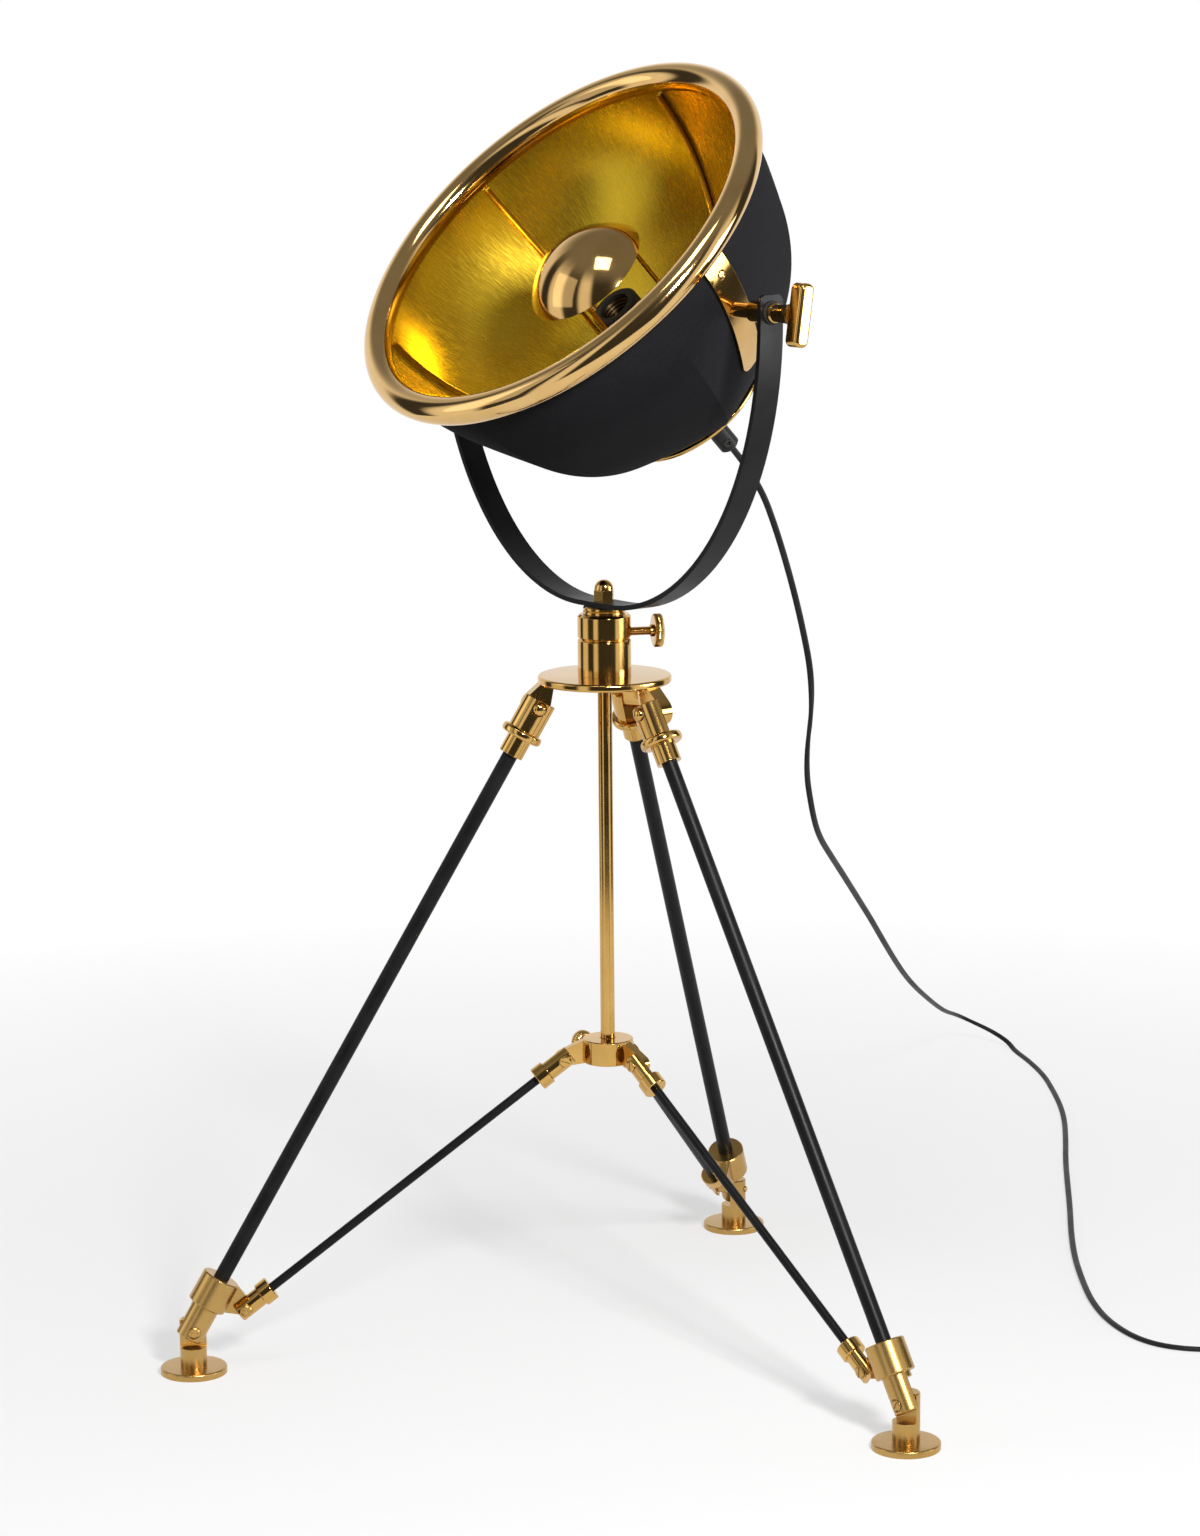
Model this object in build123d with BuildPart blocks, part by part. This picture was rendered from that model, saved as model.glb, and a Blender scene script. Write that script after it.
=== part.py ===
"""Tripod floor lamp: a folding three-legged stand, a swivelling yoke and a tilting six-gore shade.

Millimetres, +Z up, floor at Z = 0. The mast axis is the Z axis and the head faces -Y.
"""

import os
from math import acos, asin, atan2, cos, degrees, hypot, radians, sin, sqrt, tan

from build123d import *

os.makedirs("parts", exist_ok=True)

# Fits, each one the gap left between two faces
running_fit = 0.08
seat_fit = 0.05
lap_gap = 0.3
face_gap = 0.3

# Tripod
first_leg_heading = 2.4
lap_sides = (-1, 1, 1)
plate_radius = 60
plate_base = 617
plate_thickness = 7
lug_thickness = 14.5
lug_radius = 12.5
top_pin_reach = 62
top_pin_drop = 20
top_pin_radius = 3.5
leg_rod_radius = 7
ferrule_radius = 15
flange_radius = 19
neck_radius = 11.2
knee_radius = 17.6
knee_rise = 25
knee_length = 29.5
ear_rise = 38.4
ear_reach = 33
ear_thickness = 8.5
ear_tip_radius = 7
ankle_reach = 384
ankle_height = 40
ankle_radius = 12.8
ankle_tail = 8
screw_radius = 3
screw_head_radius = 5.2
foot_radius = 30
foot_thickness = 6
post_radius = 12
ledge_height = 24
tongue_top = 50

# Hub and stretchers
hub_radius = 23
hub_base = 267.5
hub_top = 289.4
hub_pin_reach = 41
hub_pin_height = 271.5
stretcher_rod_radius = 4
fitting_radius = 9
fitting_tail = 7.3
fitting_shoulder = 18.2
collar_radius = 11.1
collar_length = 12.1
hub_screw_height = 279
hub_knob_radius = 10.5

# Mast
centre_rod_radius = 6.5
socket_radius = 24
socket_length = 55
socket_floor_thickness = 15
spindle_radius = 15
spindle_flange_radius = 19
spindle_flange_height = 6.7
clamp_drop = 17
clamp_radius = 4
clamp_head_radius = 15
clamp_reach = 44.6

# Yoke
pivot_height = 960
yoke_flat = 20
yoke_width = 25
yoke_thickness = 4.5
yoke_overshoot = 15
stud_radius = 5
nut_across_flats = 17
washer_radius = 10
washer_thickness = 2
knob_shank = 25
knob_bar_length = 54
knob_bar_depth = 16
knob_bar_thickness = 14.5

# Head, depths counted back from the plane of the rim
head_tilt = 45
rim_offset = 69.243
axis_rise = 4.243
rim_step = 2.9
rim_tube_radius = 12.5
rim_wall = 1.5
rim_slot_play = 0.7
arc_depth = 7.4
arc_offset = -38
arc_radius = 230.1
shade_front = 9
shade_wall = 2
lining_gap = 0.3
lining_wall = 1
gore_count = 6
first_crease = 40
back_flatness = 0.75
flattening_share = 0.6
rib_radius = 2.5
cap_radius = 76
cap_inset = 3.9
cap_thickness = 3.5
cap_nut_height = 4
nipple_radius = 5
deflector_radius = 57
deflector_height = 31
deflector_edge = 40
deflector_wall = 1.5
deflector_rod_radius = 2.2
deflector_rod_reach = 44
first_rod_heading = 69
holder_front = 85
holder_radius = 22.5
holder_bore = 14.5
thread_radius = 13.55
strap_half_width = 13
strap_thickness = 3
strap_gap = 0.5
strap_front = 15
strap_back = 150
strap_screw_depth = 29
strap_screw_radius = 4.6
boss_length = 43.71
boss_radius = 6.5
boss_collar_radius = 9
grip_radius = 9.5
grip_seat_gap = 0.2
grip_length = 62
grip_screw_inset = 10
grip_screw_radius = 4
grip_screw_heading = -27

# Cord and plug
cord_radius = 3
coil_radius = 33
coil_turns = 2
tie_thickness = 0.8

leg_headings = [first_leg_heading + 120 * step for step in range(3)]
plate_top = plate_base + plate_thickness
top_pin_height = plate_base - top_pin_drop
leg_length = hypot(ankle_reach - top_pin_reach, top_pin_height - ankle_height)
leg_lean = degrees(atan2(ankle_reach - top_pin_reach, top_pin_height - ankle_height))
lean_sine = sin(radians(leg_lean))
lean_cosine = cos(radians(leg_lean))
knee_foot = leg_length - knee_rise
knee_top = knee_foot - knee_length
ear_drop = leg_length - ear_rise
ear_pin_reach = top_pin_reach + ear_drop * lean_sine - ear_reach * lean_cosine
ear_pin_height = top_pin_height - ear_drop * lean_cosine - ear_reach * lean_sine
stretcher_length = hypot(ear_pin_reach - hub_pin_reach, hub_pin_height - ear_pin_height)
stretcher_lean = degrees(atan2(ear_pin_reach - hub_pin_reach, hub_pin_height - ear_pin_height))
socket_top = plate_top + socket_length
socket_floor = plate_top + socket_floor_thickness
clamp_height = socket_top - clamp_drop
yoke_seat = socket_top + face_gap + spindle_flange_height
rim_radius = arc_offset + arc_radius + rim_step
front_sweep = asin((shade_front - arc_depth) / arc_radius)
back_sweep = acos((cap_radius + cap_inset - arc_offset) / arc_radius)
shade_back = arc_depth + arc_radius * sin(back_sweep)
cap_front = shade_back + face_gap
cap_back = cap_front + cap_thickness
cap_nut_back = cap_back + cap_nut_height
grip_front = cap_nut_back + grip_seat_gap
grip_back = grip_front + grip_length
grip_screw_depth = grip_back - grip_screw_inset
half_gore = radians(180 / gore_count)


def flatness(sweep):
    """How far a gore's middle has moved from the circle to the chord, 0 at the rim."""
    share = min(1, max(0, sweep / (flattening_share * back_sweep)))
    return back_flatness * share**2 * (3 - 2 * share)


def strap_seat(depth):
    """Reach of the shade's outside under a flat strap, whose edges bear on the gore first."""
    sweep = asin((depth - arc_depth) / arc_radius)
    crease = arc_offset + arc_radius * cos(sweep)
    middle = crease * (1 - flatness(sweep) * (1 - cos(half_gore)))
    rise = middle - crease * cos(half_gore)
    bow = ((crease * sin(half_gore)) ** 2 + rise**2) / (2 * rise)
    off_middle = radians(first_crease) - half_gore
    centre = (middle - bow) * cos(off_middle)
    aside = (middle - bow) * sin(off_middle)
    return max(centre + sqrt(bow**2 - (edge - aside) ** 2) for edge in (-strap_half_width, 0, strap_half_width))


pivot_face = strap_seat(rim_offset) + strap_gap + strap_thickness
yoke_inner = pivot_face + boss_length
yoke_half_width = yoke_inner + yoke_thickness
knob_base = yoke_half_width + washer_thickness + face_gap


def outward(heading):
    return Vector(cos(radians(heading)), sin(radians(heading)), 0)


def sideways(heading):
    return Vector(-sin(radians(heading)), cos(radians(heading)), 0)


def radial_plane(heading):
    """Upright plane through the mast: x outward, y up."""
    return Plane(origin=(0, 0, 0), x_dir=outward(heading), z_dir=-sideways(heading))


def strut_plane(heading, reach, height, lean):
    """Frame of a leaning strut: origin at its upper pin, x sideways, z up along the strut."""
    rise = Vector(0, 0, 1) * cos(radians(lean)) - outward(heading) * sin(radians(lean))
    pin = outward(heading) * reach + Vector(0, 0, height)
    return Plane(origin=pin, x_dir=sideways(heading), z_dir=rise)


def moved(frame, across, inward, along):
    """The same frame with its origin moved in its own axes."""
    return Plane(
        origin=frame.from_local_coords((across, inward, along)), x_dir=frame.x_dir, z_dir=frame.z_dir
    )


def pin_frame(frame, side):
    """Frame of a pin across a strut, its z pointing out of the lapped cheek."""
    return Plane(origin=frame.origin, x_dir=frame.z_dir, z_dir=frame.x_dir * side)


def axial(frame):
    """Plane that holds a frame's z axis, for profiles of (radius, height)."""
    return Plane(origin=frame.origin, x_dir=frame.x_dir, z_dir=-frame.y_dir)


def turned(frame, *profile):
    """Solid of revolution of a closed (radius, height) profile about a frame's z axis."""
    with BuildPart() as blank:
        with BuildSketch(axial(frame)):
            with BuildLine():
                Polyline(*profile, close=True)
            make_face()
        revolve(axis=Axis(frame.origin, frame.z_dir))
    return blank.part


def waste_half(frame, side, low, high, reach):
    """Block that leaves only the cheek of a lapped joint between two heights."""
    with BuildPart() as waste:
        with BuildSketch(axial(frame)):
            with Locations((side * (lap_gap / 2 - reach) / 2, (low + high) / 2)):
                Rectangle(reach + lap_gap / 2, high - low)
        extrude(amount=reach, both=True)
    return waste.part


def drilled(frame, radius, length):
    """Round cutter centred on a frame's origin, along its z axis."""
    with BuildPart() as cutter:
        with BuildSketch(frame):
            Circle(radius)
        extrude(amount=length, both=True)
    return cutter.part


def spot_faced(frame, height, radius):
    """Round cutter that clears everything above a height."""
    with BuildPart() as cutter:
        with BuildSketch(frame.offset(height)):
            Circle(radius)
        extrude(amount=4 * radius)
    return cutter.part


def round_edges(part, radius):
    """Circular edges of one radius."""
    circles = part.edges().filter_by(GeomType.CIRCLE)
    return circles.filter_by(lambda edge: abs(edge.radius - radius) < 0.001)


def save(solid, name):
    solid.label = name
    export_step(solid, f"parts/{name}.step")


def tapered_ear(frame, side, root_low, root_high, root_near, root_far, tip, tip_radius, thickness):
    """Flat ear on the far side of a lap: a hull from a root to a round tip."""
    with BuildPart() as ear:
        with BuildSketch(frame.offset(side * lap_gap / 2)):
            with Locations(((root_near + root_far) / 2, (root_low + root_high) / 2)):
                Rectangle(root_far - root_near, root_high - root_low)
            with Locations(tip):
                Circle(tip_radius)
            make_hull()
        extrude(amount=side * thickness)
    return ear.part


def lapped_screw(frame, side, seat, tail):
    """Slotted screw across a lapped joint, from its head on the cheek to a rounded tail."""
    head = seat + face_gap
    blank = turned(
        pin_frame(frame, side),
        (0, tail),
        (screw_radius - 0.6, tail),
        (screw_radius, tail + 0.6),
        (screw_radius, head),
        (screw_head_radius, head),
        (screw_head_radius, head + 1.6),
        (screw_head_radius - 1.4, head + 2.6),
        (0, head + 2.6),
    )
    slot_plane = pin_frame(frame, side).offset(head + 1.6)
    with BuildPart() as screw:
        add(blank)
        with BuildSketch(slot_plane):
            Rectangle(1.3, 3 * screw_head_radius, rotation=35)
        extrude(amount=2, mode=Mode.SUBTRACT)
    return screw.part


def build_top_plate():
    lugs = []
    for heading, side in zip(leg_headings, lap_sides):
        lug = tapered_ear(
            radial_plane(heading),
            side,
            plate_base - 2,
            plate_base + 1,
            46,
            plate_radius - 3,
            (top_pin_reach, top_pin_height),
            lug_radius,
            lug_thickness,
        )
        pin = pin_frame(strut_plane(heading, top_pin_reach, top_pin_height, 0), side)
        lugs.append((lug, drilled(pin, top_pin_radius + seat_fit, 2 * lug_thickness)))
    with BuildPart() as plate:
        with BuildSketch(Plane.XY.offset(plate_base)):
            Circle(plate_radius)
        extrude(amount=plate_thickness)
        fillet(round_edges(plate, plate_radius), 2.2)
        for lug, hole in lugs:
            add(lug)
            add(hole, mode=Mode.SUBTRACT)
    save(plate.part, "top_plate")


def build_top_pins():
    blanks = []
    for heading, side in zip(leg_headings, lap_sides):
        pin = pin_frame(strut_plane(heading, top_pin_reach, top_pin_height, 0), side)
        seat = ferrule_radius - 2 + face_gap
        tail = -lap_gap / 2 - lug_thickness - 2.5
        blanks.append(
            turned(
                pin,
                (0, tail),
                (top_pin_radius - 1, tail),
                (top_pin_radius, tail + 1),
                (top_pin_radius, seat),
                (6, seat),
                (6, seat + 1.2),
                (5.2, seat + 3.2),
                (3.2, seat + 4.7),
                (0, seat + 5.3),
            )
        )
    with BuildPart() as pins:
        for blank in blanks:
            add(blank)
    save(pins.part, "top_pins")


def build_leg(number, heading, side):
    leg = strut_plane(heading, top_pin_reach, top_pin_height, leg_lean)
    rod_bore = leg_rod_radius + seat_fit
    shoulder = -23.5
    flange_foot = -31.5
    neck_foot = -48.5
    rod_top = -28
    rod_foot = -knee_foot + 8.5

    blank = turned(
        leg,
        (0, 7),
        (ferrule_radius - 0.8, 7),
        (ferrule_radius, 6.2),
        (ferrule_radius, shoulder),
        (flange_radius, shoulder),
        (flange_radius, flange_foot),
        (neck_radius, flange_foot),
        (neck_radius, neck_foot),
        (rod_bore, neck_foot),
        (rod_bore, rod_top),
        (0, rod_top),
    )
    waste = waste_half(leg, side, shoulder, 20, 2 * flange_radius)
    pin = pin_frame(leg, side)
    hole = drilled(pin, top_pin_radius + running_fit, 2 * ferrule_radius)
    recess = spot_faced(pin, ferrule_radius - 2, 6.8)
    with BuildPart() as ferrule:
        add(blank)
        fillet(round_edges(ferrule, flange_radius), 3)
        add(waste, mode=Mode.SUBTRACT)
        add(hole, mode=Mode.SUBTRACT)
        add(recess, mode=Mode.SUBTRACT)
    save(ferrule.part, f"leg_ferrule_{number}")

    rod = turned(leg, (0, rod_top), (leg_rod_radius, rod_top), (leg_rod_radius, rod_foot), (0, rod_foot))
    save(rod, f"leg_rod_{number}")

    ankle_foot = -(leg_length + ankle_tail)
    lap_start = -(leg_length - 20)
    blank = turned(
        leg,
        (rod_bore, -knee_top),
        (knee_radius - 1, -knee_top),
        (knee_radius, -knee_top - 1),
        (knee_radius, -knee_foot + 1),
        (knee_radius - 1, -knee_foot),
        (ankle_radius, -knee_foot),
        (ankle_radius, ankle_foot + 0.8),
        (ankle_radius - 0.8, ankle_foot),
        (0, ankle_foot),
        (0, rod_foot),
        (rod_bore, rod_foot),
    )
    ear = tapered_ear(
        Plane(origin=leg.origin, x_dir=leg.y_dir, z_dir=leg.x_dir),
        -side,
        -knee_foot,
        -knee_top,
        rod_bore + 1,
        knee_radius - 3,
        (ear_reach, -ear_drop),
        ear_tip_radius,
        ear_thickness,
    )
    ear_pin = pin_frame(moved(leg, 0, ear_reach, -ear_drop), side)
    tail_foot = -lap_gap / 2 - ear_thickness
    tail = turned(
        ear_pin, (0, tail_foot - 2), (2, tail_foot - 2), (3, tail_foot - 1), (3, tail_foot + 1), (0, tail_foot + 1)
    )
    waste = waste_half(leg, side, ankle_foot - 5, lap_start, 2 * ankle_radius)
    ankle = moved(leg, 0, 0, -leg_length)
    hole = drilled(pin_frame(ankle, side), screw_radius + seat_fit, 2 * ankle_radius)
    recess = spot_faced(pin_frame(ankle, side), ankle_radius - 2, screw_head_radius + 0.6)
    with BuildPart() as knee:
        add(blank)
        add(ear)
        add(tail)
        add(waste, mode=Mode.SUBTRACT)
        add(hole, mode=Mode.SUBTRACT)
        add(recess, mode=Mode.SUBTRACT)
    save(knee.part, f"leg_knee_{number}")

    save(lapped_screw(ankle, side, ankle_radius - 2 - face_gap, -post_radius - 1.5), f"ankle_pin_{number}")


def build_foot(number, heading, side):
    foot = strut_plane(heading, ankle_reach, ankle_height, 0)
    ground = -ankle_height
    ledge = ledge_height - ankle_height
    crown = tongue_top - ankle_height
    blank = turned(
        foot,
        (0, ground),
        (foot_radius, ground),
        (foot_radius, ground + foot_thickness),
        (post_radius, ground + foot_thickness),
        (post_radius, crown - 1),
        (post_radius - 1, crown),
        (0, crown),
    )
    waste = waste_half(foot, -side, ledge, crown + 5, 2 * post_radius)
    hole = drilled(pin_frame(foot, side), screw_radius + running_fit, 2 * post_radius)
    with BuildPart() as piece:
        add(blank)
        fillet(round_edges(piece, foot_radius).sort_by(Axis.Z)[-1], 1.6)
        add(waste, mode=Mode.SUBTRACT)
        add(hole, mode=Mode.SUBTRACT)
    save(piece.part, f"foot_{number}")


def build_stretcher(number, heading, side):
    upper = strut_plane(heading, hub_pin_reach, hub_pin_height, stretcher_lean)
    lower = moved(upper, 0, 0, -stretcher_length)
    flipped = Plane(origin=lower.origin, x_dir=lower.x_dir, z_dir=-lower.z_dir)
    rod_bore = stretcher_rod_radius + seat_fit
    collar_foot = -fitting_shoulder - collar_length
    rod_end = -fitting_shoulder - 2
    fittings = []
    for end, fit in ((upper, running_fit), (flipped, seat_fit)):
        blank = turned(
            end,
            (0, fitting_tail),
            (fitting_radius - 0.6, fitting_tail),
            (fitting_radius, fitting_tail - 0.6),
            (fitting_radius, -fitting_shoulder),
            (collar_radius - 0.8, -fitting_shoulder),
            (collar_radius, -fitting_shoulder - 0.8),
            (collar_radius, collar_foot + 0.8),
            (collar_radius - 0.8, collar_foot),
            (rod_bore, collar_foot),
            (rod_bore, rod_end),
            (0, rod_end),
        )
        waste = waste_half(end, side, -fitting_shoulder, fitting_tail + 5, 2 * collar_radius)
        hole = drilled(pin_frame(end, side), screw_radius + fit, 2 * fitting_radius)
        recess = spot_faced(pin_frame(end, side), fitting_radius - 1.6, screw_head_radius + 0.5)
        fittings.append((blank, waste, hole, recess))
    with BuildPart() as ends:
        for blank, waste, hole, recess in fittings:
            add(blank)
            add(waste, mode=Mode.SUBTRACT)
            add(hole, mode=Mode.SUBTRACT)
            add(recess, mode=Mode.SUBTRACT)
    save(ends.part, f"stretcher_ends_{number}")

    rod = turned(
        upper,
        (0, rod_end),
        (stretcher_rod_radius, rod_end),
        (stretcher_rod_radius, -stretcher_length - rod_end),
        (0, -stretcher_length - rod_end),
    )
    save(rod, f"stretcher_rod_{number}")

    seat = fitting_radius - 1.6 - face_gap
    save(lapped_screw(lower, side, seat, lap_gap), f"ear_pin_{number}")


def build_hub():
    thread = 3
    knob_heading = leg_headings[1] + 60
    knob = Plane(
        origin=(0, 0, hub_screw_height), x_dir=sideways(knob_heading), z_dir=outward(knob_heading)
    )
    blank = turned(
        Plane.XY,
        (centre_rod_radius + running_fit, hub_base),
        (hub_radius - 0.8, hub_base),
        (hub_radius, hub_base + 0.8),
        (hub_radius, hub_top - 0.8),
        (hub_radius - 0.8, hub_top),
        (centre_rod_radius + 1.6, hub_top),
        (centre_rod_radius + running_fit, hub_top - 1.6),
    )
    ears = []
    screws = []
    for heading, side in zip(leg_headings, lap_sides):
        ear = tapered_ear(
            radial_plane(heading),
            side,
            hub_base,
            hub_top,
            12,
            18,
            (hub_pin_reach, hub_pin_height),
            ear_tip_radius,
            ear_thickness,
        )
        pivot = strut_plane(heading, hub_pin_reach, hub_pin_height, stretcher_lean)
        hole = drilled(pin_frame(pivot, side), screw_radius + seat_fit, 4 * ear_thickness)
        ears.append((ear, hole))
        tail = -lap_gap / 2 - ear_thickness - 2
        screws.append(lapped_screw(pivot, side, fitting_radius - 1.6, tail))
    bore = drilled(Plane.XY.offset((hub_base + hub_top) / 2), centre_rod_radius + running_fit, hub_top - hub_base)
    thread_hole = turned(
        knob,
        (0, 1),
        (thread + running_fit, 1),
        (thread + running_fit, hub_radius + 5),
        (0, hub_radius + 5),
    )
    with BuildPart() as hub:
        add(blank)
        for ear, hole in ears:
            add(ear)
            add(hole, mode=Mode.SUBTRACT)
        add(bore, mode=Mode.SUBTRACT)
        add(thread_hole, mode=Mode.SUBTRACT)
    save(hub.part, "hub")

    with BuildPart() as pins:
        for screw in screws:
            add(screw)
    save(pins.part, "hub_pins")

    knob_start = hub_radius + 7
    blank = turned(
        knob,
        (0, centre_rod_radius + face_gap),
        (thread, centre_rod_radius + face_gap),
        (thread, knob_start),
        (hub_knob_radius - 3, knob_start),
        (hub_knob_radius, knob_start + 3),
        (hub_knob_radius, knob_start + 8),
        (hub_knob_radius - 2.5, knob_start + 11),
        (hub_knob_radius - 6, knob_start + 12.5),
        (0, knob_start + 13),
    )
    save(blank, "hub_screw")


def build_mast():
    rod = turned(
        Plane.XY,
        (0, plate_base),
        (centre_rod_radius, plate_base),
        (centre_rod_radius, hub_base + 2.5),
        (centre_rod_radius - 1, hub_base + 1.5),
        (0, hub_base + 1.5),
    )
    save(rod, "centre_rod")

    clamp_heading = leg_headings[0] + 60
    clamp = Plane(origin=(0, 0, clamp_height), x_dir=sideways(clamp_heading), z_dir=outward(clamp_heading))
    bore = spindle_radius + running_fit
    groove = socket_top - 22
    blank = turned(
        Plane.XY,
        (0, plate_top),
        (socket_radius, plate_top),
        (socket_radius, groove - 1.6),
        (socket_radius - 1.6, groove),
        (socket_radius, groove + 1.6),
        (socket_radius, socket_top - 2),
        (socket_radius - 2, socket_top),
        (bore, socket_top),
        (bore, socket_floor),
        (0, socket_floor),
    )
    thread_hole = turned(
        clamp,
        (0, spindle_radius - 2),
        (clamp_radius + running_fit, spindle_radius - 2),
        (clamp_radius + running_fit, socket_radius + 5),
        (0, socket_radius + 5),
    )
    with BuildPart() as socket:
        add(blank)
        add(thread_hole, mode=Mode.SUBTRACT)
    save(socket.part, "mast_socket")

    head_end = clamp_reach + 7.8
    blank = turned(
        clamp,
        (0, spindle_radius + face_gap),
        (clamp_radius - 0.8, spindle_radius + face_gap),
        (clamp_radius, spindle_radius + face_gap + 0.8),
        (clamp_radius, clamp_reach - 3),
        (clamp_radius + 1.5, clamp_reach - 3),
        (clamp_radius + 1.5, clamp_reach),
        (clamp_head_radius - 1, clamp_reach),
        (clamp_head_radius, clamp_reach + 1),
        (clamp_head_radius, head_end - 1),
        (clamp_head_radius - 1, head_end),
        (0, head_end),
    )
    save(blank, "mast_screw")

    flange_base = socket_top + face_gap
    blank = turned(
        Plane.XY,
        (0, socket_floor + 1),
        (spindle_radius - 1, socket_floor + 1),
        (spindle_radius, socket_floor + 2),
        (spindle_radius, flange_base),
        (spindle_flange_radius, flange_base),
        (spindle_flange_radius, flange_base + 2.4),
        (spindle_flange_radius - 1.2, flange_base + 3.2),
        (spindle_flange_radius, flange_base + 4),
        (spindle_flange_radius, yoke_seat - 1),
        (spindle_flange_radius - 1, yoke_seat),
        (stud_radius, yoke_seat),
        (stud_radius, yoke_seat + 14),
        (0, yoke_seat + 14),
    )
    save(blank, "spindle")


def build_yoke():
    rise = pivot_height - yoke_seat - 8
    centre = yoke_seat + rise
    crown = pivot_height + yoke_overshoot
    outer = yoke_half_width - yoke_flat
    inner = yoke_inner - yoke_flat
    outer_foot = yoke_seat
    inner_foot = yoke_seat + yoke_thickness
    with BuildPart() as strip:
        with BuildSketch(Plane.XZ):
            with BuildLine():
                Line((-yoke_flat, outer_foot), (yoke_flat, outer_foot))
                EllipticalCenterArc((yoke_flat, centre), outer, rise, start_angle=270, arc_size=90)
                Line((yoke_half_width, centre), (yoke_half_width, crown))
                Line((yoke_half_width, crown), (yoke_inner, crown))
                Line((yoke_inner, crown), (yoke_inner, centre))
                EllipticalCenterArc((yoke_flat, centre), inner, rise - yoke_thickness, start_angle=270, arc_size=90)
                Line((yoke_flat, inner_foot), (-yoke_flat, inner_foot))
                EllipticalCenterArc((-yoke_flat, centre), inner, rise - yoke_thickness, start_angle=180, arc_size=90)
                Line((-yoke_inner, centre), (-yoke_inner, crown))
                Line((-yoke_inner, crown), (-yoke_half_width, crown))
                Line((-yoke_half_width, crown), (-yoke_half_width, centre))
                EllipticalCenterArc((-yoke_flat, centre), outer, rise, start_angle=180, arc_size=90)
            make_face()
        extrude(amount=yoke_width / 2, both=True)
        corners = strip.edges().filter_by(Axis.X).filter_by(lambda edge: edge.length < yoke_thickness + 0.1)
        fillet(corners, 6)
        with BuildSketch(Plane.YZ.offset(-yoke_half_width - 5)):
            with Locations((0, pivot_height)):
                Circle(stud_radius + running_fit)
        extrude(amount=2 * yoke_half_width + 10, mode=Mode.SUBTRACT)
        with BuildSketch(Plane.XY.offset(yoke_seat - 1)):
            Circle(stud_radius + seat_fit)
        extrude(amount=yoke_thickness + 2, mode=Mode.SUBTRACT)
    save(strip.part, "yoke_strip")

    nut_base = yoke_seat + yoke_thickness
    dome_base = nut_base + 10
    dome_radius = nut_across_flats / 2
    dome = turned(
        Plane.XY,
        (0, dome_base),
        (dome_radius, dome_base),
        (dome_radius, dome_base + 1),
        (dome_radius * 0.92, dome_base + 4.3),
        (dome_radius * 0.7, dome_base + 7),
        (dome_radius * 0.38, dome_base + 8.7),
        (0, dome_base + 9.2),
    )
    thread = turned(
        Plane.XY,
        (0, nut_base - 1),
        (stud_radius + seat_fit, nut_base - 1),
        (stud_radius + seat_fit, yoke_seat + 15),
        (0, yoke_seat + 15),
    )
    with BuildPart() as nut:
        with BuildSketch(Plane.XY.offset(nut_base)):
            RegularPolygon(nut_across_flats / sqrt(3), 6, rotation=15)
        extrude(amount=dome_base - nut_base)
        chamfer(nut.edges().group_by(Axis.Z)[-1], 0.6)
        add(dome)
        add(thread, mode=Mode.SUBTRACT)
    save(nut.part, "acorn_nut")

    rings = []
    for side in (1, -1):
        pivot = Plane(origin=(0, 0, pivot_height), x_dir=(0, 0, 1), z_dir=(side, 0, 0))
        rings.append(
            turned(
                pivot,
                (stud_radius + running_fit, yoke_half_width),
                (washer_radius, yoke_half_width),
                (washer_radius, yoke_half_width + washer_thickness - 0.5),
                (washer_radius - 0.5, yoke_half_width + washer_thickness),
                (stud_radius + running_fit, yoke_half_width + washer_thickness),
            )
        )
    with BuildPart() as washers:
        for ring in rings:
            add(ring)
    save(washers.part, "yoke_washers")


def build_knob(name, side, turn):
    pivot = Plane(
        origin=(0, 0, pivot_height), x_dir=(0, -sin(radians(turn)), cos(radians(turn))), z_dir=(side, 0, 0)
    )
    bar_base = knob_base + knob_shank
    bore = stud_radius + running_fit
    shank = turned(
        pivot,
        (0, knob_base),
        (8.4, knob_base),
        (8.4, knob_base + 2.5),
        (7.4, knob_base + 3.5),
        (7.4, knob_base + 8),
        (8.2, bar_base - 6),
        (10.5, bar_base + 1),
        (0, bar_base + 1),
    )
    hole = turned(pivot, (0, knob_base - 2), (bore, knob_base - 2), (bore, bar_base + 1.5), (0, bar_base + 1.5))
    with BuildPart() as bar:
        with BuildSketch(pivot.offset(bar_base)):
            RectangleRounded(knob_bar_length, knob_bar_thickness, 6)
        extrude(amount=knob_bar_depth)
        ends = bar.faces().filter_by(Axis.X).edges()
        fillet(ends, 3.4)
    with BuildPart() as knob:
        add(shank)
        add(bar.part)
        add(hole, mode=Mode.SUBTRACT)
    save(knob.part, name)


head = Plane(
    origin=(0, axis_rise * sin(radians(head_tilt)), pivot_height + axis_rise * cos(radians(head_tilt))),
    x_dir=(1, 0, 0),
    z_dir=(0, -cos(radians(head_tilt)), sin(radians(head_tilt))),
)
rim_plane = head.offset(rim_offset)


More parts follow.
